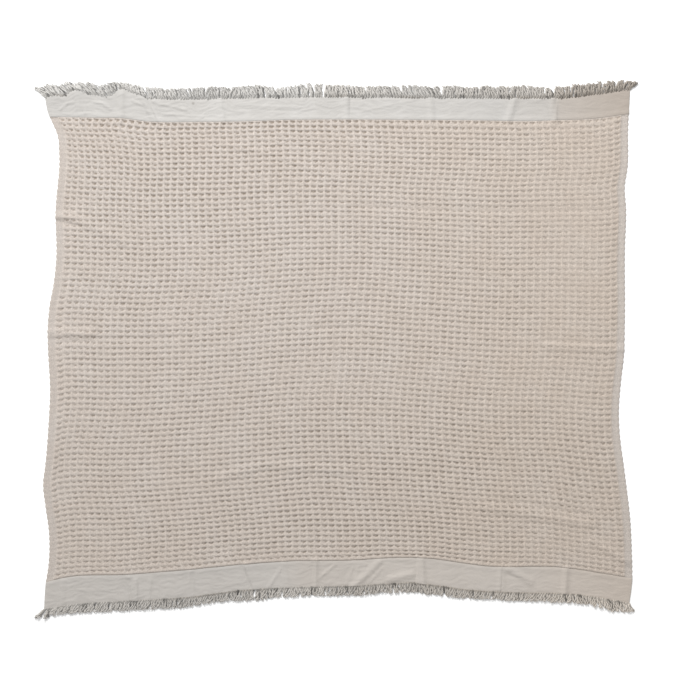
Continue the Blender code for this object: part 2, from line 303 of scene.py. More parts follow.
FINE_CREASES = [
    # packing creases in the waffle, narrower than the folds above
    Fold(8, 500, 2, 180, -1.5, 8),
    Fold(2, 180, -6, -120, -1.2, 8),
    Fold(-712, 22, -400, 30, -1.4, 12),
    Fold(-65, 55, 60, 55, -1.6, 11),
    Fold(522, 24, 720, 14, -1.6, 10),
    Fold(-704, 324, -640, 309, -3.0, 7),
    Fold(-278, 512, -152, 487, 1.2, 10),
    Fold(-152, 487, 10, 425, 1.2, 10),
    Fold(420, -372, 640, -412, -1.4, 10),
    # the upper band, from left to right
    Fold(-690, 600, -672, 616, 2.4, 6),
    Fold(-672, 616, -650, 619, 2.6, 6),
    Fold(-650, 619, -634, 606, 2.6, 6),
    Fold(-634, 606, -627, 590, 2.2, 6),
    Fold(-606, 618, -584, 616, 2.0, 6),
    Fold(-584, 616, -564, 602, 2.0, 6),
    Fold(-612, 640, -560, 630, 1.2, 5),
    Fold(-545, 650, -540, 585, 2.2, 12),
    Fold(-508, 622, -468, 606, 1.8, 6),
    Fold(-468, 630, -446, 583, -3.2, 8),
    Fold(-460, 620, -375, 600, 1.8, 6),
    Fold(-430, 590, -330, 583, 1.4, 5),
    Fold(-252, 612, -90, 606, 1.0, 5),
    Fold(-240, 602, -100, 597, -0.8, 4),
    Fold(36, 628, 34, 580, -1.2, 5),
    Fold(80, 600, 198, 625, 0.9, 5),
    Fold(148, 629, 222, 629, -0.8, 4),
    Fold(500, 622, 526, 630, 0.9, 6),
    Fold(551, 640, 541, 578, -1.8, 7),
    # the lower band, from left to right
    Fold(-640, -600, -560, -598, 0.9, 6),
    Fold(-514, -628, -520, -570, 1.0, 6),
    Fold(-512, -636, -517, -575, -2.8, 6),
    Fold(-498, -634, -501, -575, 3.4, 9),
    Fold(-470, -632, -464, -574, 1.8, 9),
    Fold(-361, -622, -361, -560, -2.6, 5),
    Fold(-236, -538, -214, -592, -2.6, 7),
    Fold(-170, -595, -137, -545, 1.8, 7),
    Fold(-58, -596, -58, -532, -3.0, 6),
    Fold(-45, -572, -2, -536, 1.6, 6),
    Fold(25, -585, 42, -545, 1.0, 5),
    Fold(46, -588, 56, -540, 1.0, 5),
    Fold(66, -580, 74, -536, 0.8, 5),
    Fold(115, -545, 84, -580, 1.2, 6),
    Fold(205, -588, 209, -526, 2.8, 8),
    Fold(408, -600, 412, -545, 2.4, 8),
    Fold(418, -604, 418, -546, 1.4, 6),
    Fold(573, -612, 579, -552, 2.8, 9),
    Fold(428, -562, 495, -582, -1.2, 6),
]


def folded(x, y):
    """(lift off the floor, depth pressed into the upper side) at places on the floor."""
    lift, press = np.zeros_like(x), np.zeros_like(x)
    for fold in FOLDS + FINE_CREASES:
        start = np.array([fold.x1, fold.y1]) * MM
        along = np.array([fold.x2, fold.y2]) * MM - start
        t = ((x - start[0]) * along[0] + (y - start[1]) * along[1]) / (along @ along)
        t = np.clip(t, 0, 1)
        away = np.hypot(x - start[0] - t * along[0], y - start[1] - t * along[1])
        height = abs(fold.rise) * MM * (1 - ease(away / (fold.half_width * MM)))
        if fold.rise > 0:
            lift = np.maximum(lift, height)
        else:
            press = np.maximum(press, height)
    return lift, press


print(len(FOLDS), "folds shared with the solids,", len(FINE_CREASES), "finer creases")

# %% [markdown]
# ## Where the waffle has gone slack
#
# A waffle is only deep where its yarns pull. Along the right side, and a little at the
# other edges, this one is drawn flatter, and its hollows are thin and shallow. Each row of
# the table is a soft oval patch: its middle, its reach both ways and how slack it is, with
# 1 for the flattest. A share below 0 is a place that is drawn deeper than the rest.
#
# Where the cloth is pulled askew its hollows slant as well. `SLANT` says where and how
# much, in the same kind of rows.

# %% Table of slack places
Patch = namedtuple("Patch", "x y wide long share")
SLACK = [
    Patch(612, 250, 95, 330, 0.55), Patch(560, 300, 260, 420, 0.28),
    Patch(590, -100, 170, 120, 0.25), Patch(-715, 20, 55, 700, 0.40),
    Patch(-80, -580, 900, 60, 0.50), Patch(150, -75, 450, 50, 0.18),
    Patch(-450, -260, 330, 260, 0.18), Patch(640, -480, 120, 90, 0.40),
    Patch(520, -530, 260, 110, 0.30), Patch(-620, -530, 170, 110, 0.25),
    Patch(-430, 430, 360, 170, -0.28), Patch(0, -330, 480, 110, -0.05),
    Patch(-20, 90, 330, 190, 0.14), Patch(-150, 562, 560, 14, -0.35),
]
SLANT = [Patch(-480, 500, 260, 170, 0.34), Patch(610, -430, 230, 150, 0.24)]


def patched(patches, x, y):
    """What the patches come to at places on the floor. Together they never pass 1."""
    left = np.ones_like(x)
    for patch in patches:
        far_x = (x - patch.x * MM) / (patch.wide * MM)
        far_y = (y - patch.y * MM) / (patch.long * MM)
        left = left * (1 - patch.share * np.exp(-(far_x**2) - far_y**2))
    return 1 - left


print("slackest", round(float(patched(SLACK, np.array([0.6]), np.array([0.25]))[0]), 2))

# %% [markdown]
# ## Sums made of nodes
#
# The ribs, the creases and every finish below are formulas, and a formula in Blender is a
# chain of nodes. Wiring each Math node by hand buries the formula, so a small class helps:
# a `Wire` is the output of a node, and adding or multiplying two wires adds the Math node
# that does it. `a * (1 - b)` then reads the same here as on paper.
#
# The same class serves Geometry Nodes and materials, because both use the same Math,
# Noise and Map Range nodes.

# %% A small language for node trees
def feed(entry, value):
    """Give a node's input a fixed value, or the wire from another node."""
    if isinstance(value, Wire):
        entry.id_data.links.new(value.socket, entry)
    else:
        entry.default_value = value


def node_in(tree, kind, entries=None, take=0, **settings):
    """Add a node, feed its inputs by name, and return one of its outputs as a Wire."""
    node = tree.nodes.new(kind)
    for name, value in settings.items():
        setattr(node, name, value)
    shown = {entry.name: entry for entry in node.inputs if entry.enabled}
    for name, value in (entries or {}).items():
        feed(shown[name], value)
    return Wire([exit for exit in node.outputs if exit.enabled][take])


class Wire:
    """One output of a node. Sums on wires add the Math nodes that do them."""

    def __init__(self, socket):
        self.socket = socket
        self.tree = socket.id_data

    def math(self, operation, *others, swap=False):
        node = self.tree.nodes.new("ShaderNodeMath")
        node.operation = operation
        values = [*others, self] if swap else [self, *others]
        for entry, value in zip(node.inputs, values):
            feed(entry, value)
        return Wire(node.outputs[0])

    def __add__(self, other):
        return self.math("ADD", other)

    def __sub__(self, other):
        return self.math("SUBTRACT", other)

    def __mul__(self, other):
        return self.math("MULTIPLY", other)

    def __truediv__(self, other):
        return self.math("DIVIDE", other)

    def __rsub__(self, other):
        return self.math("SUBTRACT", other, swap=True)

    __radd__ = __add__
    __rmul__ = __mul__

    def ramp(self, low, high, start=0.0, end=1.0):
        """A smooth step from start to end as the wire goes from low to high."""
        entries = {"Value": self, "From Min": low, "From Max": high, "To Min": start, "To Max": end}
        return node_in(
            self.tree, "ShaderNodeMapRange", entries, interpolation_type="SMOOTHSTEP"
        )

    def vector(self, operation, *others, **named):
        """A Vector Math node on this wire."""
        node = self.tree.nodes.new("ShaderNodeVectorMath")
        node.operation = operation
        for entry, value in zip(node.inputs, (self, *others)):
            feed(entry, value)
        for name, value in named.items():
            feed(node.inputs[name], value)
        return Wire(node.outputs[0])

    def parts(self):
        """The three parts of a vector or a colour, each as a Wire."""
        node = self.tree.nodes.new("ShaderNodeSeparateXYZ")
        feed(node.inputs[0], self)
        return [Wire(exit) for exit in node.outputs]


def joined(x, y, z):
    """A vector from three parts, at least one of them a Wire."""
    tree = next(part.tree for part in (x, y, z) if isinstance(part, Wire))
    return node_in(tree, "ShaderNodeCombineXYZ", {"X": x, "Y": y, "Z": z})


def noise(place, scale, detail=2.0, roughness=0.5, take=0):
    """Smooth noise between 0 and 1 at a place. take=1 gives three of them as a vector."""
    entries = {"Vector": place, "Scale": scale, "Detail": detail, "Roughness": roughness}
    return node_in(place.tree, "ShaderNodeTexNoise", entries, take=take)


# %% [markdown]
# ## Finishes
#
# Undyed cotton is never one colour. The yarn is spun unevenly, so it has paler slubs and
# darker flecks, the waffle holds a warm beige, and the bands and the fringe, which are
# beaten flatter and brushed by the wash, look greyer. Deep in a hollow the colour is
# painted dimmer and browner: painted shade, on top of the shade that the hollow's own
# shape casts.
#
# The patterns follow the cloth, not the room. Each woven piece carries a UV map called
# `weave` that counts waffle cells, one unit to a cell, so a yarn drawn in it bends with
# the cloth. Noise that has no direction, such as fuzz, reads Object coordinates.
#
# Roughness, sheen and the like are the same all over, so they are set on the shader.

# %% Start a cotton material
FACTOR_OUTPUT = 2  # of an Attribute node
OBJECT_OUTPUT = 3  # of a Texture Coordinate node


def carried(tree, name):
    """A number that the piece carries at each corner, by its attribute's name."""
    return node_in(tree, "ShaderNodeAttribute", take=FACTOR_OUTPUT, attribute_name=name)


def object_place(tree):
    """Where a point lies in the piece's own frame."""
    return node_in(tree, "ShaderNodeTexCoord", take=OBJECT_OUTPUT)


def cotton(name, sheen):
    """A matt cotton with an empty tree to finish. Returns (material, tree, shader)."""
    made = bpy.data.materials.new(name)
    made.use_nodes = True
    shader = made.node_tree.nodes["Principled BSDF"]
    shader.inputs["Metallic"].default_value = 0.0
    shader.inputs["Roughness"].default_value = 0.92
    shader.inputs["Specular IOR Level"].default_value = 0.22
    shader.inputs["Sheen Weight"].default_value = sheen
    shader.inputs["Sheen Roughness"].default_value = 0.55
    return made, made.node_tree, shader


def colour_between(factor, first, second):
    """A mix of two colours, each fixed or a Wire."""
    def opaque(colour):
        return colour if isinstance(colour, Wire) else (*colour, 1.0)

    entries = {"Factor": factor, "A": opaque(first), "B": opaque(second)}
    return node_in(factor.tree, "ShaderNodeMix", entries, data_type="RGBA")


def dimmed(colour, share):
    """A colour times a share, below 1 for less light and above 1 for more."""
    return colour.vector("SCALE", Scale=share)


def bump(height, distance):
    """A Bump node: height 1 stands `distance` metres proud."""
    entries = {"Height": height, "Distance": distance, "Strength": 1.0}
    return node_in(height.tree, "ShaderNodeBump", entries)


# %% [markdown]
# ### The waffle's cotton
#
# Seen close, a waffle cell is a stack of square frames, one yarn inside the other. Near a
# rib that runs up the cloth the yarns run up too, and near a crosswise rib they run
# across. So the yarn drawn at each point is picked by which rib is nearer. The geometry
# below holds the ribs and hollows, and this bump only adds the yarns on them.
#
# The colour starts as beige, mottled with paler yarn, and turns browner to the right and
# towards the lower band. It is also painted lighter from left to right, which is painted
# light. `hollow`, `ridge` and `waffled` are numbers that the geometry carries: how deep a
# point lies, how near it is to the crest of an upright rib, and how much of the waffle it
# has, which is 1 in the field and 0 in the plain selvedge. The hollows are painted darker
# by the first, which is painted shade, and the crests of the upright ribs paler by the
# second, which is a painted highlight.

# %% Waffle cotton
YARNS_ACROSS = 8.0  # yarns in one cell, side by side
YARNS_UP = 7.0
SELVEDGE_WEAVE = (88.0, 62.0)  # the rhythm of its plain weave, in radians to a cell
BEIGE = (0.548, 0.486, 0.436)
PALE = (0.575, 0.525, 0.485)
# painted shade: the colour that the deepest part of a hollow is painted
HOLLOW_SHADE = (0.322, 0.271, 0.226)
BROWNER = (0.975, 0.945, 0.905)  # what the browner side keeps of each colour
MOTTLE = (0.79, 1.16)  # the darkest and the palest spots, as shares of the colour
# painted light: the waffle is painted darker at its left side and lighter at its right
LIGHT_PAINTED_ACROSS = (0.968, 1.028)  # from the left side to the right


def plain_weave(u, v, rhythm):
    """A chequer of small humps, one for each place where a yarn goes over another."""
    return (u * rhythm[0]).math("SINE") * (v * rhythm[1]).math("SINE")


def waffle_cotton():
    made, tree, shader = cotton("waffle_yarn", sheen=0.12)
    weave = node_in(tree, "ShaderNodeUVMap", uv_map="weave")
    place = object_place(tree)
    hollow = carried(tree, "hollow")
    ridge = carried(tree, "ridge")
    waffled = carried(tree, "waffled")
    u, v, _ = weave.parts()

    # the yarns: frames round each cell, plain and closer in the selvedge
    beside = (u.math("FRACT") * 2.0 - 1.0).math("ABSOLUTE")
    above = (v.math("FRACT") * 2.0 - 1.0).math("ABSOLUTE")
    runs_up = (beside - above).ramp(-0.12, 0.12)
    yarn_up = (u * (YARNS_ACROSS * TURN)).math("COSINE")
    yarn_across = (v * (YARNS_UP * TURN)).math("COSINE")
    frames = yarn_across + (yarn_up - yarn_across) * runs_up
    plain = plain_weave(u, v, SELVEDGE_WEAVE)
    yarns = plain + (frames - plain) * waffled
    fuzz = noise(place, 420.0, detail=4.0, roughness=0.7)
    slubs = noise(weave.vector("MULTIPLY", (3.1, 5.7, 1.0)), 1.0, detail=2.0)
    height = yarns * 0.3 + fuzz * 1.5 + slubs * 0.9
    feed(shader.inputs["Normal"], bump(height, 0.6 * MM))

    # the colour: heathered, paler on slubs and in the selvedge, browner in the hollows as painted
    # shade
    heather = noise(place, 11.0, detail=4.0, roughness=0.6)
    fleck = noise(weave.vector("MULTIPLY", (2.3, 6.1, 1.0)), 1.0, detail=3.0, roughness=0.7)
    pale = heather.ramp(0.35, 0.7, 0.0, 0.5) + fleck.ramp(0.52, 0.75, 0.0, 0.6)
    x, y, _ = place.parts()
    edge = (1.0 - waffled) * x.ramp(-0.75, 0.75, 0.25, 1.0)
    body = colour_between((pale + edge).math("MINIMUM", 1.0), BEIGE, PALE)
    browner = x.ramp(-0.2, 0.75, 0.0, 0.95) + y.ramp(-0.6, 0.4, 0.4, 0.0)
    body = colour_between(
        browner * (waffled * 0.6 + 0.4), body, body.vector("MULTIPLY", BROWNER)
    )
    # painted shade: the hollows are painted dimmer and browner the deeper they lie
    inner = colour_between(hollow.ramp(0.25, 1.0), body, HOLLOW_SHADE)
    uneven = noise(place, 330.0, detail=3.0, roughness=0.75).ramp(0.25, 0.75, *MOTTLE)
    # painted light: lighter from the left side to the right
    painted_light = x.ramp(-0.75, 0.75, *LIGHT_PAINTED_ACROSS)
    # painted highlight: the crests of the upright ribs are painted a little paler
    light = uneven * painted_light * (0.99 + ridge * 0.05)
    feed(shader.inputs["Base Color"], dimmed(inner, light))
    return made


WAFFLE_COTTON = waffle_cotton()
print(WAFFLE_COTTON.name, "has", len(WAFFLE_COTTON.node_tree.nodes), "nodes")

# %% [markdown]
# ### The bands' cotton
#
# The bands are a plain weave: each yarn goes over one and under one. Two sine waves
# multiplied give that chequer of small humps, as in the selvedge. Their colour changes
# along their length, so it comes with the geometry: `tint` says how brown a stretch is,
# `pale` how much lighter or darker it is painted, which is painted light, and `ridge` where
# a crease stands up. Off the crests of the creases the cloth is painted a little darker,
# which is painted shade. One small dark speck, a bit of cotton seed caught in the upper
# band, is placed by its distance from a point.

# %% Band cotton
BAND_GREY = (0.505, 0.489, 0.466)
BAND_PALE = (0.545, 0.532, 0.512)
BAND_BROWN = (0.400, 0.352, 0.308)
BAND_WEAVE = (50.0, 38.0)  # radians to a cell
SEED_BROWN = (0.16, 0.14, 0.12)
SEED_AT = Vector((-357, 616, 0)) * MM - MIDDLE
SEED_REACH = (0.5 * MM, 5.5 * MM)  # darkest up to the first, gone from the second


def band_cotton():
    made, tree, shader = cotton("band_yarn", sheen=0.10)
    weave = node_in(tree, "ShaderNodeUVMap", uv_map="weave")
    place = object_place(tree)
    u, v, _ = weave.parts()
    chequer = plain_weave(u, v, BAND_WEAVE)
    fuzz = noise(place, 1100.0, detail=3.0, roughness=0.65)
    streak = noise(weave.vector("MULTIPLY", (0.9, 9.0, 1.0)), 1.0, detail=3.0)
    height = chequer * 0.25 + fuzz * 0.6 + streak * 0.8
    feed(shader.inputs["Normal"], bump(height, 0.35 * MM))

    clouds = noise(place, 14.0, detail=4.0, roughness=0.6)
    pale = clouds.ramp(0.35, 0.7) * 0.7 + streak.ramp(0.45, 0.7) * 0.3
    body = colour_between(pale, BAND_GREY, BAND_PALE)
    body = colour_between(carried(tree, "tint") + clouds * 0.1 - 0.05, body, BAND_BROWN)
    ridge = carried(tree, "ridge")
    # painted light and shade: `pale` lightens or darkens each stretch, and the cloth off the crests
    # of the creases is painted a little darker
    body = dimmed(body, (0.965 + ridge * 0.06) * carried(tree, "pale"))
    from_seed = place.vector("SUBTRACT", tuple(SEED_AT)).vector("MULTIPLY", (1.0, 1.0, 0.0))
    away = from_seed.vector("LENGTH").socket.node.outputs["Value"]
    speck = Wire(away).ramp(*SEED_REACH, 0.45, 0.0)
    feed(shader.inputs["Base Color"], colour_between(speck, body, SEED_BROWN))
    return made


BAND_COTTON = band_cotton()
print(BAND_COTTON.name, "has", len(BAND_COTTON.node_tree.nodes), "nodes")

# %% [markdown]
# ### The fringe's cotton
#
# The cut ends are the same yarn with the twist let out. They pick up grey from handling,
# and each lock is a little lighter or darker than the next, which an attribute carries:
# `shade` is a random number for each lock, with a little more for each of its yarns.
# `along` runs from 0 at the root to 1 at the tip, where the loose fibres are palest.
#
# What a lock shares with its neighbours comes from its root: `tint` for how brown, `pale`
# for how much lighter or darker it is painted, which is painted light, `stain` for the
# brown that has crept up from the band, and `slit` where two locks part and the eye looks
# down between them. `under` is 1 on the loose yarns that lie below the locks, where less
# light gets. The under yarns, and the locks near a slit at their roots, are painted
# darker, which is painted shade.

# %% Fringe cotton
YARN_GREY = (0.550, 0.533, 0.505)
YARN_PALE = (0.610, 0.597, 0.576)
ROOT_BROWN = (0.330, 0.290, 0.240)
YARN_BROWNER = (0.74, 0.68, 0.62)  # what the brownest locks keep of each colour


def fringe_cotton():
    made, tree, shader = cotton("fringe_yarn", sheen=0.15)
    place = object_place(tree)
    shade = carried(tree, "shade")
    along = carried(tree, "along")
    fibres = noise(place, 1500.0, detail=3.0, roughness=0.7)
    lumps = noise(place, 420.0, detail=2.0)
    feed(shader.inputs["Normal"], bump(fibres * 0.8 + lumps * 0.5, 0.4 * MM))
    tone = (shade * 0.75 + along.ramp(0.35, 1.0) * 0.35 - 0.1).math("MAXIMUM", 0.0)
    body = colour_between(tone.math("MINIMUM", 1.0), YARN_GREY, YARN_PALE)
    stained = along.ramp(0.0, 0.35, 1.0, 0.0) * carried(tree, "stain")
    body = colour_between(stained, body, ROOT_BROWN)
    body = colour_between(carried(tree, "tint"), body, body.vector("MULTIPLY", YARN_BROWNER))

    slit = carried(tree, "slit")
    # painted shade: the under yarns, and the locks near a slit at their roots, are painted darker
    shaded = carried(tree, "under") * (along.ramp(0.0, 0.4) * 0.42 + slit * 0.45)
    slit_shade = (slit * slit * along.ramp(0.16, 0.5, 1.0, 0.0)).math("MINIMUM", 1.0)
    light = fibres.ramp(0.25, 0.75, 0.84, 1.1) * (1.0 - shaded) * (1.0 - slit_shade * 0.5)
    # painted light: `pale` makes each stretch of the fringe lighter or darker
    feed(shader.inputs["Base Color"], dimmed(body, light * carried(tree, "pale")))
    return made


FRINGE_COTTON = fringe_cotton()
print(FRINGE_COTTON.name, "has", len(FRINGE_COTTON.node_tree.nodes), "nodes")

# %% [markdown]
# ## Stations across and up the cloth
#
# The waffle needs corners where its shape bends: at the foot and the crest of each rib.
# Six uneven stations to a cell catch both, where twice as many even ones would not. The
# selvedges get a few more, closest at the outer edge, which is round.
#
# `u` and `v` count cells from the lower left corner of the waffle. They go into the UV
# map later, and they decide where each rib stands.

# %% Stations
CELL_ACROSS = (0.0, 0.09, 0.23, 0.5, 0.77, 0.91)
MID_CELL = 0.5  # a station on the floor of each hollow, as a share of its row
CELL_UP = (0.0, 0.16, 0.33, MID_CELL, 0.69, 0.8)
SELVEDGE_PLACES = np.array([0.0, 1.0, 3.0, 7.0, 12.0, 16.5]) * MM
NEAR_CUT = 0.02  # cells from a cut between two pieces to the row beside it
NEAR_BAND = 0.06  # cells from a band to the row beside it
CLOSEST = 0.1  # no other row comes nearer to a band than this

ROWS_SEEN = ROWS - LOWER_CUT - UPPER_CUT
LAST_ROW = ROWS - UPPER_CUT
WAFFLE_WIDE = 2 * (HALF_WIDE - SELVEDGE_WIDE)
WAFFLE_LONG = LEVELS[2] - LEVELS[1]
CELL_WIDE = WAFFLE_WIDE / COLUMNS
CELL_LONG = WAFFLE_LONG / ROWS_SEEN


def cells(count, shares):
    """Stations from 0 to count, with each cell cut at these shares."""
    return np.array([*(np.arange(count)[:, None] + np.array(shares)).ravel(), count])


def across_at(u):
    """Where the cell count u lies on the straight cloth, from its middle line."""
    t = u / COLUMNS
    return WAFFLE_WIDE * (t + COLUMN_SKEW * t * (1 - t) - 0.5)


def up_at(v):
    """Where the cell count v lies on the straight cloth."""
    t = (v - LOWER_CUT) / ROWS_SEEN
    share = t - ROW_SKEW / (2 * np.pi) * np.sin(2 * np.pi * t)
    return LEVELS[1] + WAFFLE_LONG * share


u_waffle = cells(COLUMNS, CELL_ACROSS)
outside = (SELVEDGE_WIDE - SELVEDGE_PLACES) / CELL_WIDE
U = np.array([*(-outside), *u_waffle, *(COLUMNS + outside[::-1])])
X = np.array([
    *(SELVEDGE_PLACES - HALF_WIDE), *across_at(u_waffle), *(HALF_WIDE - SELVEDGE_PLACES[::-1])
])
V = np.union1d(cells(ROWS, CELL_UP), np.add.outer(CUTS, (-NEAR_CUT, NEAR_CUT)))
V = V[(V > LOWER_CUT + CLOSEST) & (V < LAST_ROW - CLOSEST)]
V = np.array([LOWER_CUT, LOWER_CUT + NEAR_BAND, *V, LAST_ROW - NEAR_BAND, LAST_ROW])
print("cell", round(CELL_WIDE / MM, 2), "by", round(CELL_LONG / MM, 2), "mm")
print(len(U), "stations across,", len(V), "up the waffle")

# %% [markdown]
# ## A sheet closed all round
#
# Each woven piece is a closed sheet: a fine upper side, a coarser underside that nobody
# sees from above, and a wall round its rim that joins the two. The wall's faces are flat
# and the rest are smooth, so the shading breaks at the rim and nowhere else. Neighbouring
# pieces of the waffle meet along the crest of a rib. It is level there, and each has a
# row of corners close to it, so both sides shade up to the join as if it weren't there.

# %% Close a grid into a sheet
def quads(number):
    """The quads of a grid of corner numbers, counterclockwise seen from above."""
    low, high = number[:-1], number[1:]
    return np.stack([low[:, :-1], low[:, 1:], high[:, 1:], high[:, :-1]], -1).reshape(-1, 4)


def walls(line, below, coarse):
    """The rim's faces between a fine line of corners and a coarse one under it."""
    return [
        [below[k], below[k + 1], *line[coarse[k] : coarse[k + 1] + 1][::-1]]
        for k in range(len(coarse) - 1)
    ]


def closed_sheet(name, x, y, top, bottom, weave, coarse_rows, coarse_columns, **facts):
    """A closed sheet between two heights. `weave` is its UV map, `facts` its attributes."""
    rows, columns = x.shape
    under = np.ix_(coarse_rows, coarse_columns)
    over = np.arange(rows * columns).reshape(rows, columns)
    below = over.size + np.arange(x[under].size).reshape(x[under].shape)
    corners = np.concatenate([
        np.stack([x, y, top], -1).reshape(-1, 3),
        np.stack([x[under], y[under], bottom[under]], -1).reshape(-1, 3),
    ]) - np.array(MIDDLE)

    skin = [*quads(over).tolist(), *quads(below)[:, ::-1].tolist()]
    back_rows = rows - 1 - coarse_rows[::-1]
    back_columns = columns - 1 - coarse_columns[::-1]
    rim = [
        *walls(over[0], below[0], coarse_columns),
        *walls(over[:, -1], below[:, -1], coarse_rows),
        *walls(over[-1, ::-1], below[-1, ::-1], back_columns),
        *walls(over[::-1, 0], below[::-1, 0], back_rows),
    ]
    mesh = bpy.data.meshes.new(name)
    mesh.from_pydata(corners.tolist(), [], skin + [[int(c) for c in face] for face in rim])
    mesh.polygons.foreach_set("use_smooth", [True] * len(skin) + [False] * len(rim))

    corner_of = np.empty(len(mesh.loops), int)
    mesh.loops.foreach_get("vertex_index", corner_of)
    u, v = (np.concatenate([part.ravel(), part[under].ravel()]) for part in weave)
    layer = mesh.uv_layers.new(name="weave")
    layer.data.foreach_set("uv", np.stack([u[corner_of], v[corner_of]], -1).ravel())
    for fact, (above, beneath) in facts.items():
        values = np.concatenate([above.ravel(), beneath[under].ravel()])
        mesh.attributes.new(fact, "FLOAT", "POINT").data.foreach_set("value", values)

    sheet = bpy.data.objects.new(name, mesh)
    bpy.context.scene.collection.objects.link(sheet)
    return sheet


# %% [markdown]
# ## Growing a piece with Geometry Nodes
#
# A tree is built once, with named inputs, and run on one piece after another. Blender
# knows each input by an identifier and not by its name, so the inputs are looked up in
# the tree's interface. When the tree has run, its result is copied out as a plain mesh
# and the modifier goes, so that what is left is ordinary and can be measured.

# %% Build a tree and run it
SOCKETS = {
    float: "NodeSocketFloat",
    int: "NodeSocketInt",
    bpy.types.Material: "NodeSocketMaterial",
}


def new_tree(name, **inputs):
    """An empty Geometry Nodes tree. Returns it with its inputs, as Wires, by name."""
    tree = bpy.data.node_groups.new(name, "GeometryNodeTree")
    tree.interface.new_socket("Geometry", in_out="OUTPUT", socket_type="NodeSocketGeometry")
    tree.interface.new_socket("Geometry", in_out="INPUT", socket_type="NodeSocketGeometry")
    for key, kind in inputs.items():
        label = key.replace("_", " ")
        tree.interface.new_socket(label, in_out="INPUT", socket_type=SOCKETS[kind])
    entry = tree.nodes.new("NodeGroupInput")
    wires = {exit.name.replace(" ", "_"): Wire(exit) for exit in entry.outputs if exit.name}
    return tree, wires


def finish_tree(tree, geometry, material):
    """Realize what was instanced, give it its material, and end the tree."""
    geometry = node_in(tree, "GeometryNodeRealizeInstances", {"Geometry": geometry})
    entries = {"Geometry": geometry, "Material": material}
    geometry = node_in(tree, "GeometryNodeSetMaterial", entries)
    feed(tree.nodes.new("NodeGroupOutput").inputs[0], geometry)
    return tree


def attribute_in(tree, name, data_type="FLOAT"):
    """A named attribute of the geometry."""
    return node_in(tree, "GeometryNodeInputNamedAttribute", {"Name": name}, data_type=data_type)


def stored(tree, geometry, name, value):
    """The geometry with a number stored at each of its points, under a name."""
    entries = {"Geometry": geometry, "Name": name, "Value": value}
    return node_in(
        tree, "GeometryNodeStoreNamedAttribute", entries, data_type="FLOAT", domain="POINT"
    )


def wobble(place, scale, detail):
    """Three smooth noises at a place, each from -0.5 to 0.5."""
    both = noise(place, scale, detail=detail, take=1)
    return both.vector("SUBTRACT", (0.5, 0.5, 0.5)).parts()


def run_tree(piece, tree, **values):
    """Run a tree on a piece, leave the plain result in it, and return the piece."""
    modifier = piece.modifiers.new(tree.name, "NODES")
    modifier.node_group = tree
    for item in tree.interface.items_tree:
        key = item.name.replace(" ", "_")
        if item.in_out == "INPUT" and key in values:
            modifier[item.identifier] = values[key]
    ready = piece.evaluated_get(bpy.context.evaluated_depsgraph_get())
    made = bpy.data.meshes.new_from_object(ready)
    piece.modifiers.remove(modifier)
    piece.data = made
    made.name = piece.name
    return piece


def triangles(piece):
    """How many triangles a piece's mesh has."""
    return sum(len(face.vertices) - 2 for face in piece.data.polygons)


# %% [markdown]
# ## The waffle weave
#
# This tree turns a flat sheet into a waffle. Smooth steps make the ribs: one rises towards
# the nearest upright rib line, and two towards the crosswise lines above and below. The
# hollow is what none of them reaches. Crosswise ribs are broad and upright ribs thin,
# because the weft is the thicker yarn and lies over the warp. The broad ribs have all
# rolled the same way, so a hollow has a steep wall above it and a long slope below. That
# slope starts lowest a little right of the middle, which makes the hollow a blunt V.
#
# No two hollows of the real cloth are alike, so each cell draws random numbers from its
# own row and column. They shift its hollow, slant it, sharpen or blunt its V and change
# its width and depth. Every shift fades out towards the ribs, so neighbours still meet. A
# slow noise then pushes whole stretches of ribs about, as the wash does.
#
# The tree stores two numbers for the finish to read: `hollow`, how deep a point lies, and
# `ridge`, how near it is to the crest of an upright rib. The finish paints shade into the
# hollows by the first, and a highlight on the upright ribs by the second.

# %% The waffle weave tree
# the two slopes of a hollow, in shares of the room between two crosswise ribs
SLOPE_ABOVE = (0.34, 0.54)  # where the steep wall starts and ends, from the middle up
SLOPE_BELOW = (0.1, 0.72)  # and the long slope, from the middle down

# the rest of its shape, in shares of its cell
POINT_AT = 0.58  # how far across the V has its point
POINT_LOW = 0.1  # how much lower the long slope starts there
POINT_LEAN = 0.3  # how much steeper the V is right of its point than left of it
SAG = 0.3  # how fast the hollow's middle sags below its sides
SAG_LEVEL = 0.2  # it lies neither higher nor lower this far from its middle
RIDGE_FROM = 0.7  # `ridge` rises from here, 1 being the middle of an upright rib
RIB_CREST = 0.9  # and the rib is at its full height from here

# heights, in shares of the room that the ribs have
MEAN_DEPTH = 0.82
DEEPER_RIGHT = 0.3  # how much a hollow deepens from its left to its right
SUNK = 0.8  # how far a hollow of full depth lies under the ribs
RIB_HEIGHT = 0.97
ROLL = 0.06  # how far the crest of a rib stands above its shoulders

# the most that a cell's own chances change, each way
CHANCE_UP = 0.06
CHANCE_ACROSS = 0.07
CHANCE_SLANT = 0.15
CHANCE_VEE = 0.5
CHANCE_WIDTH = 0.08
CHANCE_DEPTH = 0.12

# what a slack place takes off a hollow's height and depth and off its upright ribs
SLACK_LONG = 0.45
SLACK_DEEP = 0.35
SLACK_RIB = 0.4


def drawn(cell):
    """Three random numbers of a cell, each from -1 to 1."""
    draw = node_in(cell.tree, "ShaderNodeTexWhiteNoise", {"Vector": cell}, take=1)
    return [part * 2.0 - 1.0 for part in draw.parts()]


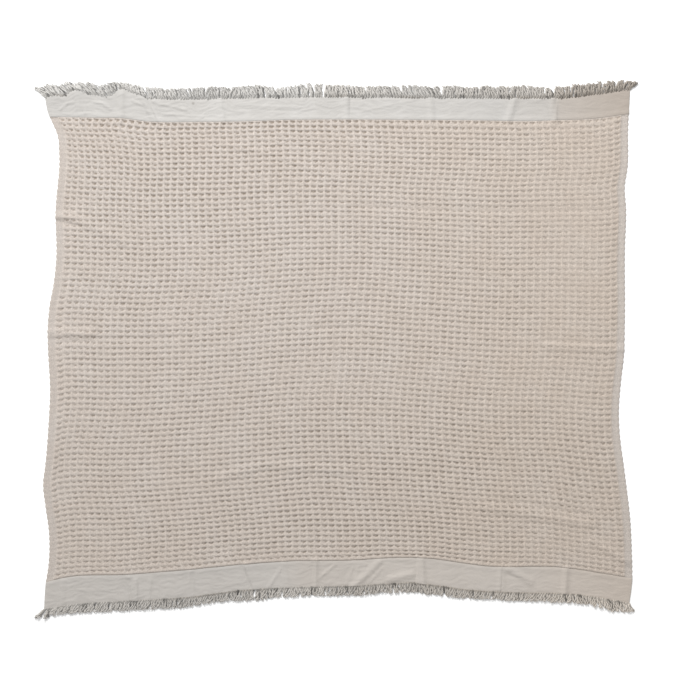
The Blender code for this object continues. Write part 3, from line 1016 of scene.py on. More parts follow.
def waffle_tree():
    tree, given = new_tree(
        "Waffle weave", Upright_rib=float, Crosswise_rib=float, Slant=float, Vee=float,
        Unevenness=float, Wander=float, Seed=float, Material=bpy.types.Material,
    )
    weave = attribute_in(tree, "weave", "FLOAT_VECTOR")
    waffled = attribute_in(tree, "waffled")
    slack = attribute_in(tree, "slack")
    place = node_in(tree, "GeometryNodeInputPosition")
    uneven = given["Unevenness"]
    u, v, _ = weave.parts()

    # the chances of this cell
    seed = joined(given["Seed"], given["Seed"], 0.0)
    cell = weave.vector("FLOOR").vector("ADD", seed)
    lower, slant, vee = drawn(cell)
    deeper, aside, wider = drawn(cell.vector("SCALE", Scale=1.7))

    # where in its cell this point is, once the hollow has been pushed about
    across, up = u.math("FRACT"), v.math("FRACT")
    inside_across = across * (1.0 - across) * 4.0
    inside_up = up * (1.0 - up) * 4.0
    from_middle = across - 0.5
    slanting = given["Slant"] + attribute_in(tree, "slant") + noise(place, 3.0) * 0.7 - 0.35
    push_up = lower * CHANCE_UP + (slant * CHANCE_SLANT + slanting) * from_middle
    push_up = push_up + (SAG_LEVEL - from_middle.math("ABSOLUTE")) * SAG
    beyond_point = across - POINT_AT
    from_point = beyond_point.math("ABSOLUTE") + beyond_point * POINT_LEAN
    point = (1.0 + vee * CHANCE_VEE) * (POINT_LOW - from_point) * given["Vee"]
    up = up + push_up * inside_up * uneven
    across = across + aside * CHANCE_ACROSS * inside_across * uneven

    # the ribs, and the hollow between them, which is a little deeper at its right
    beside = (across * 2.0 - 1.0).math("ABSOLUTE")
    beside = beside + wider * CHANCE_WIDTH * inside_across * uneven
    upright = beside.ramp(1.0 - given["Upright_rib"], RIB_CREST)
    ridge = beside.ramp(RIDGE_FROM, 1.0)
    room = (1.0 - given["Crosswise_rib"]) * (1.0 - slack * SLACK_LONG)
    above_middle = (up - MID_CELL) / room
    below_middle = 0.0 - above_middle - point * inside_up / room
    crosswise = above_middle.ramp(*SLOPE_ABOVE).math("MAXIMUM", below_middle.ramp(*SLOPE_BELOW))
    deeper_right = 1.0 + from_middle * DEEPER_RIGHT
    depth = (MEAN_DEPTH + deeper * CHANCE_DEPTH * uneven) * (1.0 - slack * SLACK_DEEP)
    open_across = 1.0 - upright * (1.0 - slack * SLACK_RIB)
    hollow = open_across * (1.0 - crosswise) * depth * deeper_right
    rolled = ((up * TURN).math("COSINE") + ridge) * ROLL
    crest = noise(weave, 0.31, detail=2.0) * 0.26 + noise(weave, 2.3, detail=1.0) * 0.14 - 0.2
    height = (RIB_HEIGHT - hollow * SUNK + rolled + crest * uneven).math("MAXIMUM", 0.0)

    # the wash pushes whole stretches of ribs about
    slow_x, slow_y, _ = wobble(place, 9.0, 2.0)
    quick_x, quick_y, _ = wobble(place, 75.0, 1.0)
    wander = given["Wander"] * waffled
    aside_x = (slow_x + quick_x * 0.45) * wander
    aside_y = (slow_y + quick_y * 0.45) * wander
    offset = joined(aside_x, aside_y, attribute_in(tree, "relief") * height)
    entries = {"Geometry": given["Geometry"], "Offset": offset}
    woven = node_in(tree, "GeometryNodeSetPosition", entries)
    woven = stored(tree, woven, "hollow", hollow * attribute_in(tree, "inside"))
    woven = stored(tree, woven, "ridge", ridge * waffled)
    return finish_tree(tree, woven, given["Material"])


WAFFLE_TREE = waffle_tree()
print(WAFFLE_TREE.name, "has", len(WAFFLE_TREE.nodes), "nodes")

# %% [markdown]
# ## The four pieces of the waffle
#
# Nearly seven thousand cells are too many for one mesh, so the waffle is made as four
# wide strips that meet along ribs. Each starts as a low sheet, the floor of the hollows,
# lifted by the folds. The attribute `relief` says how far the ribs may stand above that,
# which is less where a crease is pressed in, and `waffled` fades them out into the
# selvedges and bands. The plain selvedge rises and falls a little with every row, and its
# edge steps in and out with them, because the rows' yarns turn back there.
#
# The underside is coarser: it has the corners of each cell, the middles of its sides and
# its own middle. The ribs' backs stand a little clear of the floor, and the backs of the
# hollows touch it, as in the real cloth.

# %% Weave the waffle
FADE_SIDE = 2 * MM  # the waffle fades into the selvedge over this, each way
FADE_BAND = 1.6 * MM  # and into a band over this
ROW_SWELL = 0.25 * MM  # how far a row lifts the selvedge
ROW_STEP = 0.7 * MM  # how far a row pushes the selvedge's edge out


def waffle_strip(name, first, last):
    """The strip of waffle from one count of rows to another, with both selvedges."""
    v_here = V[(V >= first - 1e-9) & (V <= last + 1e-9)]
    u, v = np.meshgrid(U, v_here)
    flat_x, flat_y = np.meshgrid(X, up_at(v_here))
    x, y = laid(flat_x, flat_y)
    lift, press = folded(x, y)

    edge = HALF_WIDE - np.abs(flat_x)
    from_band = np.minimum(flat_y - LEVELS[1], LEVELS[2] - flat_y)
    beside = ease((edge - SELVEDGE_WIDE + FADE_SIDE) / (2 * FADE_SIDE))
    meeting = ease(from_band / FADE_BAND)
    waffled = beside * meeting

    row_wave = np.cos(2 * np.pi * v)
    selvedge = SELVEDGE * rounded(edge, 3 * MM, 0.35) + ROW_SWELL * row_wave - 0.5 * press
    join = np.where(flat_y > 0, UPPER_JOIN, LOWER_JOIN)
    seam = join - BAND + BAND * rounded(edge, 2 * MM, 0.4)
    plain = seam + (selvedge - seam) * meeting
    top = lift + plain + (HOLLOW - plain) * waffled
    relief = np.maximum(CREST - HOLLOW - press, 0.4 * (CREST - HOLLOW)) * waffled
    x = x + np.sign(flat_x) * ROW_STEP * row_wave * (1 - beside) * meeting

    whole = np.isclose(u % 1, 0) | np.isclose(v % 1, 0)
    bottom = lift + BACK * whole * waffled + (join - BAND) * (1 - meeting)
    in_selvedge = np.abs(U - COLUMNS / 2) > COLUMNS / 2
    coarse_across = np.flatnonzero(np.isclose(U * 2 % 1, 0) | in_selvedge)
    coarse_up = np.flatnonzero(np.isclose(v_here % 1, 0) | np.isclose(v_here % 1, MID_CELL))
    coarse_up = np.unique([0, *coarse_up, len(v_here) - 1])

    still = np.zeros_like(x)
    sheet = closed_sheet(
        name, x, y, top, bottom, (u, v), coarse_up, coarse_across,
        relief=(relief, still), waffled=(waffled, still), inside=(beside, still),
        slack=(patched(SLACK, x, y), still), slant=(patched(SLANT, x, y), still),
    )
    return run_tree(
        sheet, WAFFLE_TREE, Upright_rib=0.38, Crosswise_rib=0.46, Slant=0.16, Vee=0.8,
        Unevenness=1.0, Wander=2.6 * MM, Seed=3.0, Material=WAFFLE_COTTON,
    )


cuts = [LOWER_CUT, *CUTS, LAST_ROW]
strips = []
for number, (first, last) in enumerate(zip(cuts, cuts[1:]), start=1):
    strips.append(waffle_strip(f"waffle_{number}_of_4", first, last))
    print(strips[-1].name, "has", triangles(strips[-1]), "triangles")

# %% [markdown]
# ## The bands
#
# The bands are thin, and they were never pressed after the wash. Apart from the creases
# in the table they are full of long, shallow, wavy ones, like the grain in wood. Noise
# gives those: it is stretched along the band, bent by a second noise so that it swirls,
# and folded at its middle value, which turns its smooth hills into narrow ridges.
#
# Three attributes steer this. `loose` says how free the cloth is to lift: it is 0 where
# the band is woven to the waffle, so the two edges still meet. `crumpled` says how high
# the ridges are on this stretch, and `thick` keeps the upper side above the lower one.

# %% The crumpled band tree
SWIRL_ALONG, SWIRL_ACROSS = 0.06, 0.075  # metres that the second noise bends the first
SHARPNESS = 3.2  # more makes the ridges narrower
SWELL_ALONG, SWELL_ACROSS = 0.6, 0.3  # how fast the swell changes, the creases being 1


def band_tree():
    tree, given = new_tree(
        "Crumpled band", Crease_length=float, Crease_spacing=float, Crease_height=float,
        Swell=float, Seed=float, Material=bpy.types.Material,
    )
    place = node_in(tree, "GeometryNodeInputPosition")
    loose = attribute_in(tree, "loose")
    thick = attribute_in(tree, "thick")
    crumpled = attribute_in(tree, "crumpled")

    swirl_x, swirl_y, _ = wobble(place, 12.0, 2.0)
    x, y, z = place.parts()
    along = (x + swirl_x * SWIRL_ALONG) / given["Crease_length"]
    across = (y + swirl_y * SWIRL_ACROSS) / given["Crease_spacing"]
    grain = noise(joined(along, across, given["Seed"]), 1.0, detail=1.0)
    ridge = (1.0 - (grain * 2.0 - 1.0).math("ABSOLUTE") * SHARPNESS).math("MAXIMUM", 0.0)
    drawn_out = joined(along * SWELL_ALONG, across * SWELL_ACROSS, given["Seed"] + 7.0)
    swell = noise(drawn_out, 1.0, detail=1.0)
    rise = given["Crease_height"] * ridge * ridge * crumpled + given["Swell"] * swell
    height = (z + rise * loose).math("MAXIMUM", thick)
    entries = {"Geometry": given["Geometry"], "Position": joined(x, y, height)}
    woven = node_in(tree, "GeometryNodeSetPosition", entries)
    # the finish paints the cloth off these crests a little darker, as painted shade
    woven = stored(tree, woven, "ridge", ridge)
    return finish_tree(tree, woven, given["Material"])


BAND_TREE = band_tree()
print(BAND_TREE.name, "has", len(BAND_TREE.nodes), "nodes")

# %% [markdown]
# ### Weaving the two bands
#
# A band goes from the waffle out to the roots of its fringe. Where it is woven to the
# waffle it is as thick as that, and it thins out from there. How it looks along its
# length was read off the real one: `browned` and `crumpling` say how brown and how creased
# it is, and a third table how much lighter or darker it is painted, which is painted
# light. Each is a few places, in millimetres, with a share for each.

# %% Weave the two bands
BAND_STATIONS = 28
THINS_OVER = 16 * MM  # from the thickness of the join to its own
LOOSE_FROM = 7 * MM  # fully free from here
PRESSED_FROM = 4 * MM  # creases are pressed to their full depth from here


def band(name, inner_level, outer_level, browned, crumpling, washed, seed):
    """One plain band, from the waffle out to the roots of its fringe."""
    inner, outer = LEVELS[inner_level], LEVELS[outer_level]
    share = np.linspace(0, 1, BAND_STATIONS)
    if outer < inner:
        share = share[::-1]
    flat_x, flat_y = np.meshgrid(X, inner + (outer - inner) * share)
    u, v = np.meshgrid(U, (inner + (outer - inner) * share - LEVELS[1]) / CELL_LONG)
    x, y = laid(flat_x, flat_y)
    lift, press = folded(x, y)

    edge = np.minimum(HALF_WIDE - np.abs(flat_x), np.abs(outer - flat_y))
    from_join = np.abs(flat_y - inner)
    loose = ease(from_join / LOOSE_FROM) * (0.55 + 0.45 * ease(edge / (8 * MM)))
    thick = BAND * rounded(edge, 2 * MM, 0.7)
    join = UPPER_JOIN if inner > 0 else LOWER_JOIN
    slope = (join - BAND) * (1 - ease(from_join / THINS_OVER))
    under = lift + slope - press * ease(from_join / PRESSED_FROM)
    # `pale` is painted light: how much lighter or darker each stretch is painted
    tint, crumpled, pale = [
        np.interp(x / MM, *zip(*rows)) for rows in (browned, crumpling, washed)
    ]
    coarse_across = np.unique([*range(0, len(X), 3), len(X) - 1])
    coarse_up = np.unique([*range(0, BAND_STATIONS, 3), BAND_STATIONS - 1])
    sheet = closed_sheet(
        name, x, y, under + thick, np.maximum(under, 0), (u, v), coarse_up, coarse_across,
        loose=(loose, loose), thick=(thick, np.zeros_like(thick)), tint=(tint, tint),
        crumpled=(crumpled, crumpled), pale=(pale, pale),
    )
    return run_tree(
        sheet, BAND_TREE, Crease_length=55 * MM, Crease_spacing=8.5 * MM,
        Crease_height=1.1 * MM, Swell=1.8 * MM, Seed=seed, Material=BAND_COTTON,
    )


upper_band = band(
    "upper_band", 2, 3,
    browned=[(410, 0.05), (460, 0.2), (530, 0.26), (562, 0.7), (660, 0.9), (710, 1.0)],
    crumpling=[(-600, 1.2), (0, 1.0), (400, 0.6), (700, 0.5)],
    washed=[
        (-690, 0.87), (-600, 0.915), (-440, 0.925), (-350, 0.95), (-190, 0.966), (200, 0.966),
        (300, 0.99), (390, 0.94), (460, 0.98), (530, 0.98), (562, 1.026), (660, 1.034),
    ],
    seed=2.0,
)
lower_band = band(
    "lower_band", 1, 0,
    browned=[(-150, 0.36), (-80, 0.6), (450, 0.66), (560, 0.84), (700, 0.98)],
    crumpling=[(-600, 1.0), (200, 0.7)],
    washed=[
        (-690, 0.985), (-230, 0.99), (-160, 1.02), (-80, 1.09), (0, 1.1), (150, 1.145),
        (260, 1.13), (480, 1.155), (520, 1.2), (620, 1.25),
    ],
    seed=5.0,
)
for piece in (upper_band, lower_band):
    print(piece.name, "has", triangles(piece), "triangles")

# %% [markdown]
# ## The fringe
#
# The fringe is the warp itself, cut off about three centimetres past the band. Its yarns
# have wound together in threes into some two hundred locks at each end, with a loose yarn
# between each two that lies flat under them, in their shade. They lean one way here and
# another there, curl at their tips, and part in white gaps.
#
# How they lie was read off every few centimetres, so a few tables hold it for each end. A
# `Comb` row gives the lean, in degrees to the right of straight out, and how far the tips
# reach. A `Gap` row parts the yarns on either side of a place. Everything finer than that
# is drawn at random: each yarn's length, bend, layer, thickness and shade.

# %% How the fringe is combed and parted
Comb = namedtuple("Comb", "x lean reach")
UPPER_COMB = [
    Comb(-728, -47, 26), Comb(-712, -34, 30), Comb(-696, -27, 31), Comb(-668, -26, 29),
    Comb(-648, -27, 19), Comb(-633, -31, 22), Comb(-622, -33, 32), Comb(-600, -32, 36),
    Comb(-578, -30, 35), Comb(-570, -22, 33), Comb(-554, -17, 31), Comb(-540, -14, 20),
    Comb(-526, -16, 18), Comb(-505, -20, 25), Comb(-478, -16, 32), Comb(-455, -10, 31),
    Comb(-410, -5, 30), Comb(-340, -4, 31), Comb(-300, 3, 32), Comb(-258, 24, 31),
    Comb(-219, -20, 32), Comb(-195, -8, 36), Comb(-165, -6, 30), Comb(-140, 0, 28),
    Comb(-90, -2, 35), Comb(-50, 3, 36), Comb(-10, 6, 33), Comb(35, -6, 32),
    Comb(80, 8, 30), Comb(120, -14, 32), Comb(180, -15, 32), Comb(240, -28, 31),
    Comb(285, 18, 33), Comb(325, 0, 29), Comb(362, 10, 34), Comb(395, 0, 33),
    Comb(450, 0, 36), Comb(500, 0, 33), Comb(530, -4, 28), Comb(580, 8, 33),
    Comb(640, 15, 33), Comb(680, 22, 30), Comb(718, 20, 27), Comb(733, 46, 21),
]
LOWER_COMB = [
    Comb(-729, -50, 21), Comb(-722, -20, 29), Comb(-711, -26, 24), Comb(-672, -29, 24),
    Comb(-628, -18, 25), Comb(-560, -5, 26), Comb(-500, -4, 27), Comb(-450, -4, 26),
    Comb(-375, -4, 27), Comb(-338, -3, 25), Comb(-262, 0, 26), Comb(-225, 0, 29),
    Comb(-187, -5, 31), Comb(-165, -5, 27), Comb(-112, 0, 26), Comb(-35, 0, 25),
    Comb(60, 0, 27), Comb(130, 14, 24), Comb(180, 22, 28), Comb(240, 15, 27),
    Comb(300, 4, 26), Comb(375, 0, 21), Comb(440, 2, 23), Comb(525, 0, 23),
    Comb(600, 18, 26), Comb(638, 20, 25), Comb(670, 33, 33), Comb(715, 23, 27),
    Comb(734, 12, 25),
]
Gap = namedtuple("Gap", "x wide")
UPPER_GAPS = [
    Gap(-578, 2.5), Gap(-325, 4), Gap(-150, 6), Gap(64, 4), Gap(262, 6), Gap(428, 3),
    Gap(515, 4), Gap(560, 3), Gap(658, 5),
]
LOWER_GAPS = [
    Gap(-690, 3), Gap(-600, 4), Gap(-564, 3), Gap(-512, 3), Gap(-432, 3), Gap(-332, 4),
    Gap(-266, 2.5), Gap(-246, 7), Gap(-206, 2.5), Gap(-138, 3), Gap(-109, 2.5), Gap(-90, 6),
    Gap(-25, 3), Gap(112, 2.5), Gap(137, 4), Gap(235, 3), Gap(270, 3), Gap(342, 3),
    Gap(388, 3), Gap(430, 3), Gap(495, 3), Gap(538, 3), Gap(560, 2.5), Gap(644, 3.5),
    Gap(695, 3), Gap(709, 3),
]

# %% [markdown]
# ### Stains, slits and painted light
#
# The rest of the tables is about tone. A `Stain` row is a stretch where the roots have
# gone brown. `SLITS` are the places, in millimetres, where two locks stand apart at their
# roots; there the locks are painted darker near their roots, which is painted shade, as a
# small dark hole. `browned` says how brown the fringe is along its length, and the last
# table how much lighter or darker it is painted, which is painted light, as for the bands.

# %% The fringe's tone
Stain = namedtuple("Stain", "x reach")
UPPER_STAINS = [Stain(-690, 20), Stain(12, 26), Stain(186, 40), Stain(470, 60), Stain(600, 60)]
LOWER_STAINS = [Stain(-300, 160), Stain(320, 240)]
UPPER_SLITS = [292, 410, 525, 562, 612, 694]
LOWER_SLITS = [-628, -540, -395, -60, 30, 262, 455]

# %% [markdown]
# ### The roots
#
# Each yarn starts as one point, with all that the tables say about its place stored on
# it. That keeps the tables out of the tree, which then needs only what a yarn knows about
# itself. The four yarns of a lock are rooted side by side and take their lean and reach
# from its middle. On the outside of a bend, where the locks fan out, the yarns are made
# thicker, so that no floor shows between them.

# %% The roots of the fringe
LOCKS = 215  # in each fringe, of three yarns and a loose one
YARNS = 4  # to a lock
ABREAST = np.array([-1.1, 0.0, 1.1, 3.4]) * MM  # where a lock's four yarns are rooted
FIRST_LOCK = 3 * MM  # from the cloth's left side
LAST_LOCK = 5 * MM  # from its right side
JITTER = 1.2  # millimetres that a lock may be out of its place
PART_REACH = 9 * MM  # how far from a gap its neighbours still lean away
SLIT_REACH = 5 * MM
SLIT_OPENS = 1.2 * MM  # how far a slit pushes its neighbours aside
ODD_SLITS = 120  # shallower ones, anywhere
TUCK = 3.5 * MM  # how far a root is woven into the band


def yarn_roots(name, level, outward, seed, comb, gaps, slits, stains, browned, washed):
    """Points along one end of the cloth, four to a lock, with their lean and length."""
    chance = np.random.default_rng(seed)
    middle = np.linspace(-HALF_WIDE + FIRST_LOCK, HALF_WIDE - LAST_LOCK, LOCKS)
    middle = middle + chance.uniform(-JITTER, JITTER, LOCKS) * MM
    flat_x = (middle[:, None] + ABREAST).ravel()
    x, y = laid(flat_x, np.full(flat_x.shape, LEVELS[level]))
    lock_x = np.repeat(x[1::YARNS], YARNS)

    lean = np.radians(smooth([(row.x, row.lean) for row in comb], lock_x) / MM)
    reach = smooth([(row.x, row.reach) for row in comb], lock_x)
    sideways = np.tan(lean) * reach
    parted = np.zeros_like(x)
    for gap in gaps:
        away = lock_x - gap.x * MM
        near = np.clip(1 - np.abs(away) / PART_REACH, 0, 1)
        sideways += np.sign(away) * near * (gap.wide / 2 + 0.2) * MM
        parted = np.maximum(parted, near * min(gap.wide / 4, 1))
    tips = (x + sideways)[1::YARNS]
    fanned = np.clip(np.gradient(tips) / np.gradient(x[1::YARNS]), 1.0, 1.5)

    slit = np.zeros_like(x)
    odd_places = chance.uniform(-HALF_WIDE, HALF_WIDE, ODD_SLITS) / MM
    odd_depths = chance.uniform(0.3, 0.95, ODD_SLITS)
    for place, depth in [*((place, 1.0) for place in slits), *zip(odd_places, odd_depths)]:
        away = lock_x - place * MM
        near = np.clip(1 - np.abs(away) / SLIT_REACH, 0, 1) * depth
        x = x + np.sign(away) * near * SLIT_OPENS
        slit = np.maximum(slit, near)

    stained = np.zeros_like(x)
    for stain in stains:
        far = (lock_x - stain.x * MM) / (stain.reach * MM)
        stained = np.maximum(stained, 0.65 * np.exp(-(far**2)))

    mesh = bpy.data.meshes.new(name)
    places = np.stack([x, y - outward * TUCK, np.full_like(x, 0.5 * BAND)], -1)
    mesh.from_pydata((places - np.array(MIDDLE)).tolist(), [], [])
    facts = {
        "lean": np.arctan2(sideways, reach),
        "long": np.hypot(sideways, reach),
        "slit": slit,
        "parted": parted,
        "stain": stained,
        "fanned": np.repeat(fanned, YARNS),
        "tint": np.interp(x / MM, *zip(*browned)),
        # `pale` is painted light: how much lighter or darker each lock is painted
        "pale": np.interp(x / MM, *zip(*washed)),
    }
    for fact, values in facts.items():
        mesh.attributes.new(fact, "FLOAT", "POINT").data.foreach_set("value", values)
    roots = bpy.data.objects.new(name, mesh)
    bpy.context.scene.collection.objects.link(roots)
    return roots


# %% [markdown]
# ### Spinning the yarns
#
# The tree puts a straight line of points at every root, bends each line on the floor, and
# then runs a two-lobed profile along it. A lock's path is a parabola with a curl at its
# end: it sets out at one angle and arrives at another, so the locks hook over like
# commas. Three of its four yarns wind round that path as a helix, a third of a turn
# apart, which opens towards the tip where nothing holds them. Noise adds the crimp that
# the weave has left in them.
#
# The fourth yarn, with `under` at 1, doesn't wind. It lies below the others, flat and a
# little shorter, and fills the ground between two locks.

# %% The cut fringe tree
# a lock's path: angles in radians, swings in shares of its length
STRAY, FAR_STRAY = 0.04, 0.05  # how far a lock strays from its lean, and a few much more
BOW_OUT, BOW_BACK = 0.22, 0.3  # a bowed lock sets out to one side and swings back
HOOK = 0.22  # how far its tip curls round

# its yarns, in shares of a yarn's thickness
COIL, COIL_OPENS = 0.38, 0.4  # how far they wind from the path, and how much more at the tip
LAYER_LOW, LAYER_SPREAD = 0.42, 0.5  # the lowest lock's height, and what the highest adds
FRAY = 1.3  # how far the tip of a yarn may stand off its lock


def fringe_tree():
    tree, given = new_tree(
        "Cut fringe", Outward=float, Yarn_thickness=float, Crimp=float, Curl=float,
        Shortest=float, Root_height=float, Turn_length=float, Rings=int, Seed=int,
        Material=bpy.types.Material,
    )
    index = node_in(tree, "GeometryNodeInputIndex")
    lock = (index / float(YARNS)).math("FLOOR")
    strand = index - lock * float(YARNS)

    def chance(low, high, number, whose=lock):
        """A random number for each lock, or for each yarn."""
        entries = {"Min": low, "Max": high, "ID": whose, "Seed": given["Seed"] + float(number)}
        return node_in(tree, "FunctionNodeRandomValue", entries, data_type="FLOAT")

    # what each yarn is like, stored at its root
    roots = given["Geometry"]
    draws = {
        "short": chance(0.0, 1.0, 1),
        "stray": chance(-1.0, 1.0, 2),
        "bow": chance(-1.0, 1.0, 3),
        "layer": chance(0.0, 1.0, 4),
        "shade": chance(0.0, 0.7, 5) + chance(0.0, 0.3, 6, index),
        "size": chance(0.88, 1.12, 7, index),
        "phase": chance(0.0, TURN, 8) + strand * (TURN / 3),
        "curl": chance(-1.0, 1.0, 9),
        "spread": chance(-1.0, 1.0, 10, index),
        "lock": lock,
        "under": strand.math("GREATER_THAN", 2.5),
    }
    for name, value in draws.items():
        roots = stored(tree, roots, name, value)
    ends = {"Start": (0, 0, 0), "End": (0, 0, 1)}
    line = node_in(tree, "GeometryNodeCurvePrimitiveLine", ends)
    line = node_in(tree, "GeometryNodeResampleCurve", {"Curve": line, "Count": given["Rings"]})
    lines = node_in(tree, "GeometryNodeInstanceOnPoints", {"Points": roots, "Instance": line})
    lines = node_in(tree, "GeometryNodeRealizeInstances", {"Geometry": lines})

    def own(*names):
        """What each point has from its yarn's root."""
        return [attribute_in(tree, name) for name in names]

    # the lock's path on the floor
    short, stray, bow, curl, under, lean, long, parted = own(
        "short", "stray", "bow", "curl", "under", "lean", "long", "parted"
    )
    along = node_in(tree, "GeometryNodeSplineParameter")
    share = 1.0 - short * short * (1.0 - given["Shortest"]) - under * (0.1 + parted * 0.6)
    length = long * share
    start = lean + stray * STRAY + stray * stray * stray * FAR_STRAY + bow * BOW_OUT
    square = along * along
    swing = bow * square * -BOW_BACK + curl * given["Curl"] * square * square * HOOK
    sine, cosine = start.math("SINE"), start.math("COSINE")
    sideways = length * (along * sine + swing * cosine)
    outwards = length * (along * cosine - swing * sine) * given["Outward"]
    crimp_at = joined(along * 3.2, attribute_in(tree, "lock") * 3.7, 0.0)
    crimp_x, crimp_y, crimp_z = wobble(crimp_at, 1.0, 1.0)
    crimped = given["Crimp"] * along.ramp(0.0, 0.5)

    # the yarn round that path
    layer, size, phase, spread, fanned = own("layer", "size", "phase", "spread", "fanned")
    thickness = given["Yarn_thickness"] * (1.0 + (fanned - 1.0) * along)
    radius = thickness * 0.5 * size * (1.0 + under * 0.55)
    emerging = along.ramp(0.0, 0.12)
    woven_in = along.ramp(0.08, 0.32, 0.36, 1.0).math("MAXIMUM", under)
    radius = radius * (emerging * 0.75 + 0.25) * woven_in * along.ramp(0.9, 1.0, 1.0, 0.7)
    twist = phase + along * length / given["Turn_length"] * TURN
    open_end = COIL + square * along * COIL_OPENS
    coil = thickness * (1.0 - under) * open_end * along.ramp(0.0, 0.2, 0.3, 1.0)
    layered = LAYER_LOW + layer * LAYER_SPREAD
    over_others = (1.0 - under) * along.ramp(0.08, 0.4) * layered
    bed = thickness * (0.3 + emerging * 0.25 + over_others)
    bed = bed + given["Root_height"] * emerging * along.ramp(0.12, 0.35, 1.0, 0.0)
    rise = bed + coil * twist.math("SINE") + crimp_z * crimped * 0.5
    rise = rise.math("MAXIMUM", radius * 1.1)
    x, y, _ = node_in(tree, "GeometryNodeInputPosition").parts()
    fray = spread * square * thickness * FRAY
    path_x = x + sideways + crimp_x * crimped + coil * twist.math("COSINE") + fray
    path_y = y + outwards + crimp_y * crimped * 0.6
    entries = {"Geometry": lines, "Position": joined(path_x, path_y, rise)}
    laid_out = node_in(tree, "GeometryNodeSetPosition", entries)
    laid_out = stored(tree, laid_out, "along", along)
    laid_out = node_in(tree, "GeometryNodeSetCurveNormal", {"Curve": laid_out}, mode="Z_UP")
    laid_out = node_in(tree, "GeometryNodeSetCurveTilt", {"Curve": laid_out, "Tilt": twist * 0.4})

    # the two-lobed profile
    circle = node_in(tree, "GeometryNodeCurvePrimitiveCircle", {"Resolution": 8, "Radius": 1.0})
    lobes = node_in(tree, "GeometryNodeInputPosition")
    lobe_x, lobe_y, _ = lobes.parts()
    swell = 1.0 + (lobe_x * lobe_x - lobe_y * lobe_y) * 0.2
    entries = {"Geometry": circle, "Position": lobes.vector("SCALE", Scale=swell)}
    profile = node_in(tree, "GeometryNodeSetPosition", entries)
    entries = {"Curve": laid_out, "Profile Curve": profile, "Scale": radius, "Fill Caps": True}
    spun = node_in(tree, "GeometryNodeCurveToMesh", entries)
    return finish_tree(tree, spun, given["Material"])


FRINGE_TREE = fringe_tree()
print(FRINGE_TREE.name, "has", len(FRINGE_TREE.nodes), "nodes")

# %% Comb out the two fringes
def fringe(name, level, outward, seed, **tables):
    """The fringe along one end of the cloth."""
    roots = yarn_roots(name, level, outward, seed, **tables)
    return run_tree(
        roots, FRINGE_TREE, Outward=float(outward), Yarn_thickness=3.0 * MM, Crimp=5.5 * MM,
        Curl=0.65, Shortest=0.87, Root_height=0.2 * MM, Turn_length=13.0 * MM, Rings=12,
        Seed=seed, Material=FRINGE_COTTON,
    )


upper_fringe = fringe(
    "upper_fringe", 3, 1, seed=11,
    comb=UPPER_COMB, gaps=UPPER_GAPS, slits=UPPER_SLITS, stains=UPPER_STAINS,
    browned=[
        (-80, 0.0), (-20, 0.25), (100, 0.22), (200, 0.1), (330, 0.35), (500, 0.45), (545, 0.6),
        (560, 0.85), (700, 1.0),
    ],
    washed=[
        (-700, 1.1), (-640, 1.08), (-600, 0.98), (-450, 1.07), (-350, 0.89), (-200, 1.05),
        (20, 1.12), (200, 0.99), (300, 1.05), (400, 1.04), (500, 1.08), (570, 1.02), (700, 0.94),
    ],
)
lower_fringe = fringe(
    "lower_fringe", 0, -1, seed=29,
    comb=LOWER_COMB, gaps=LOWER_GAPS, slits=LOWER_SLITS, stains=LOWER_STAINS,
    browned=[(-560, 0.35), (-100, 0.42), (50, 0.6), (450, 0.7), (600, 0.85)],
    washed=[
        (-700, 0.98), (-550, 0.99), (-380, 0.92), (-230, 0.97), (-160, 1.06), (-40, 1.03),
        (80, 0.98), (250, 1.07), (400, 1.08), (450, 1.17), (500, 1.18), (620, 1.31), (700, 1.39),
    ],
)
for piece in (upper_fringe, lower_fringe):
    print(piece.name, "has", triangles(piece), "triangles")

# %% [markdown]
# ## What each piece stands for
#
# All the pieces lie still on one body. The woven ones stand for the solid cloth, the two
# fringes for the solid fringes, and those solids are hidden. The length that each woven
# piece has when it lies straight is worked out as well, though nothing uses it.

# %% Put the pieces in the frame
for strip, (first, last) in zip(strips, zip(cuts, cuts[1:])):
    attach(strip, "root")
    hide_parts("blanket_cloth")
    flat_long = round(float(up_at(last) - up_at(first)), 3)

ends = [
    (upper_band, upper_fringe, "fringe_upper", 2),
    (lower_band, lower_fringe, "fringe_lower", 0),
]
for woven, cut_ends, solid, level in ends:
    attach(woven, "root")
    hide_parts("blanket_cloth")
    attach(cut_ends, "root")
    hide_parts(solid)
    flat_long = round(float(LEVELS[level + 1] - LEVELS[level]), 3)

# %% [markdown]
# ## The floor, the light and the camera
#
# The blanket is seen from straight above on a plain pale floor. The waffle only shows
# because its hollows are shaded, so one large soft light stands past the upper edge, a
# little to the left, and a pale sky fills in the rest. The light falls off towards the
# lower edge. The floor gives off a little light of its own, so it stays white all over.
#
# The camera hangs high over the middle with a long lens, so that it looks almost straight
# down on every part.

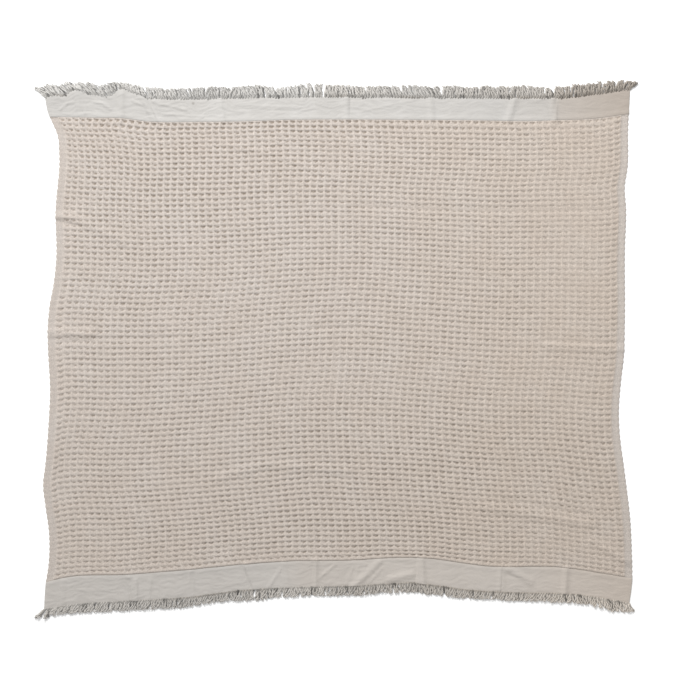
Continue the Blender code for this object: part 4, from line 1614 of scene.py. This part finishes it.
# %% Floor and lights
FLOOR_DOWN = 0.4 * MM  # the floor lies this far under the blanket, clear of its underside


def floor():
    """A wide white floor."""
    mesh = bpy.data.meshes.new("floor")
    corners = [(x, y, -FLOOR_DOWN) for x, y in ((-15, -15), (15, -15), (15, 15), (-15, 15))]
    mesh.from_pydata(corners, [], [(0, 1, 2, 3)])
    made = bpy.data.materials.new("pale_floor")
    made.use_nodes = True
    shader = made.node_tree.nodes["Principled BSDF"]
    shader.inputs["Base Color"].default_value = (0.93, 0.93, 0.93, 1.0)
    shader.inputs["Roughness"].default_value = 0.9
    shader.inputs["Specular IOR Level"].default_value = 0.1
    shader.inputs["Emission Color"].default_value = (1.0, 1.0, 1.0, 1.0)
    shader.inputs["Emission Strength"].default_value = 0.14
    mesh.materials.append(made)
    piece = bpy.data.objects.new("floor", mesh)
    bpy.context.scene.collection.objects.link(piece)


def soft_light(name, place, size, power):
    """A square soft light that faces the middle of the blanket."""
    data = bpy.data.lights.new(name, "AREA")
    data.shape = "SQUARE"
    data.size = size
    data.energy = power
    lamp = bpy.data.objects.new(name, data)
    lamp.location = place
    lamp.rotation_euler = (-Vector(place)).to_track_quat("-Z", "Y").to_euler()
    lamp.visible_camera = False
    bpy.context.scene.collection.objects.link(lamp)


floor()
soft_light("key_light", (-1.2, 2.9, 3.5), 1.8, 219)
world = bpy.data.worlds.new("studio")
world.use_nodes = True
sky = world.node_tree.nodes["Background"]
sky.inputs["Color"].default_value = (1.0, 1.0, 1.0, 1.0)
sky.inputs["Strength"].default_value = 0.52
bpy.context.scene.world = world
bpy.context.scene.view_settings.view_transform = "Standard"

# %% Camera
LENS = 100.0
SENSOR = 36.0
SEEN = 1.75  # metres of floor across the picture

eye = bpy.data.cameras.new("camera")
eye.lens = LENS
eye.sensor_width = SENSOR
eye.clip_end = 50.0
camera = bpy.data.objects.new("camera", eye)
camera.location = (0.0332, -0.0007, SEEN * LENS / SENSOR)
bpy.context.scene.collection.objects.link(camera)
bpy.context.scene.camera = camera
print("camera", round(camera.location.z, 3), "m above the floor")
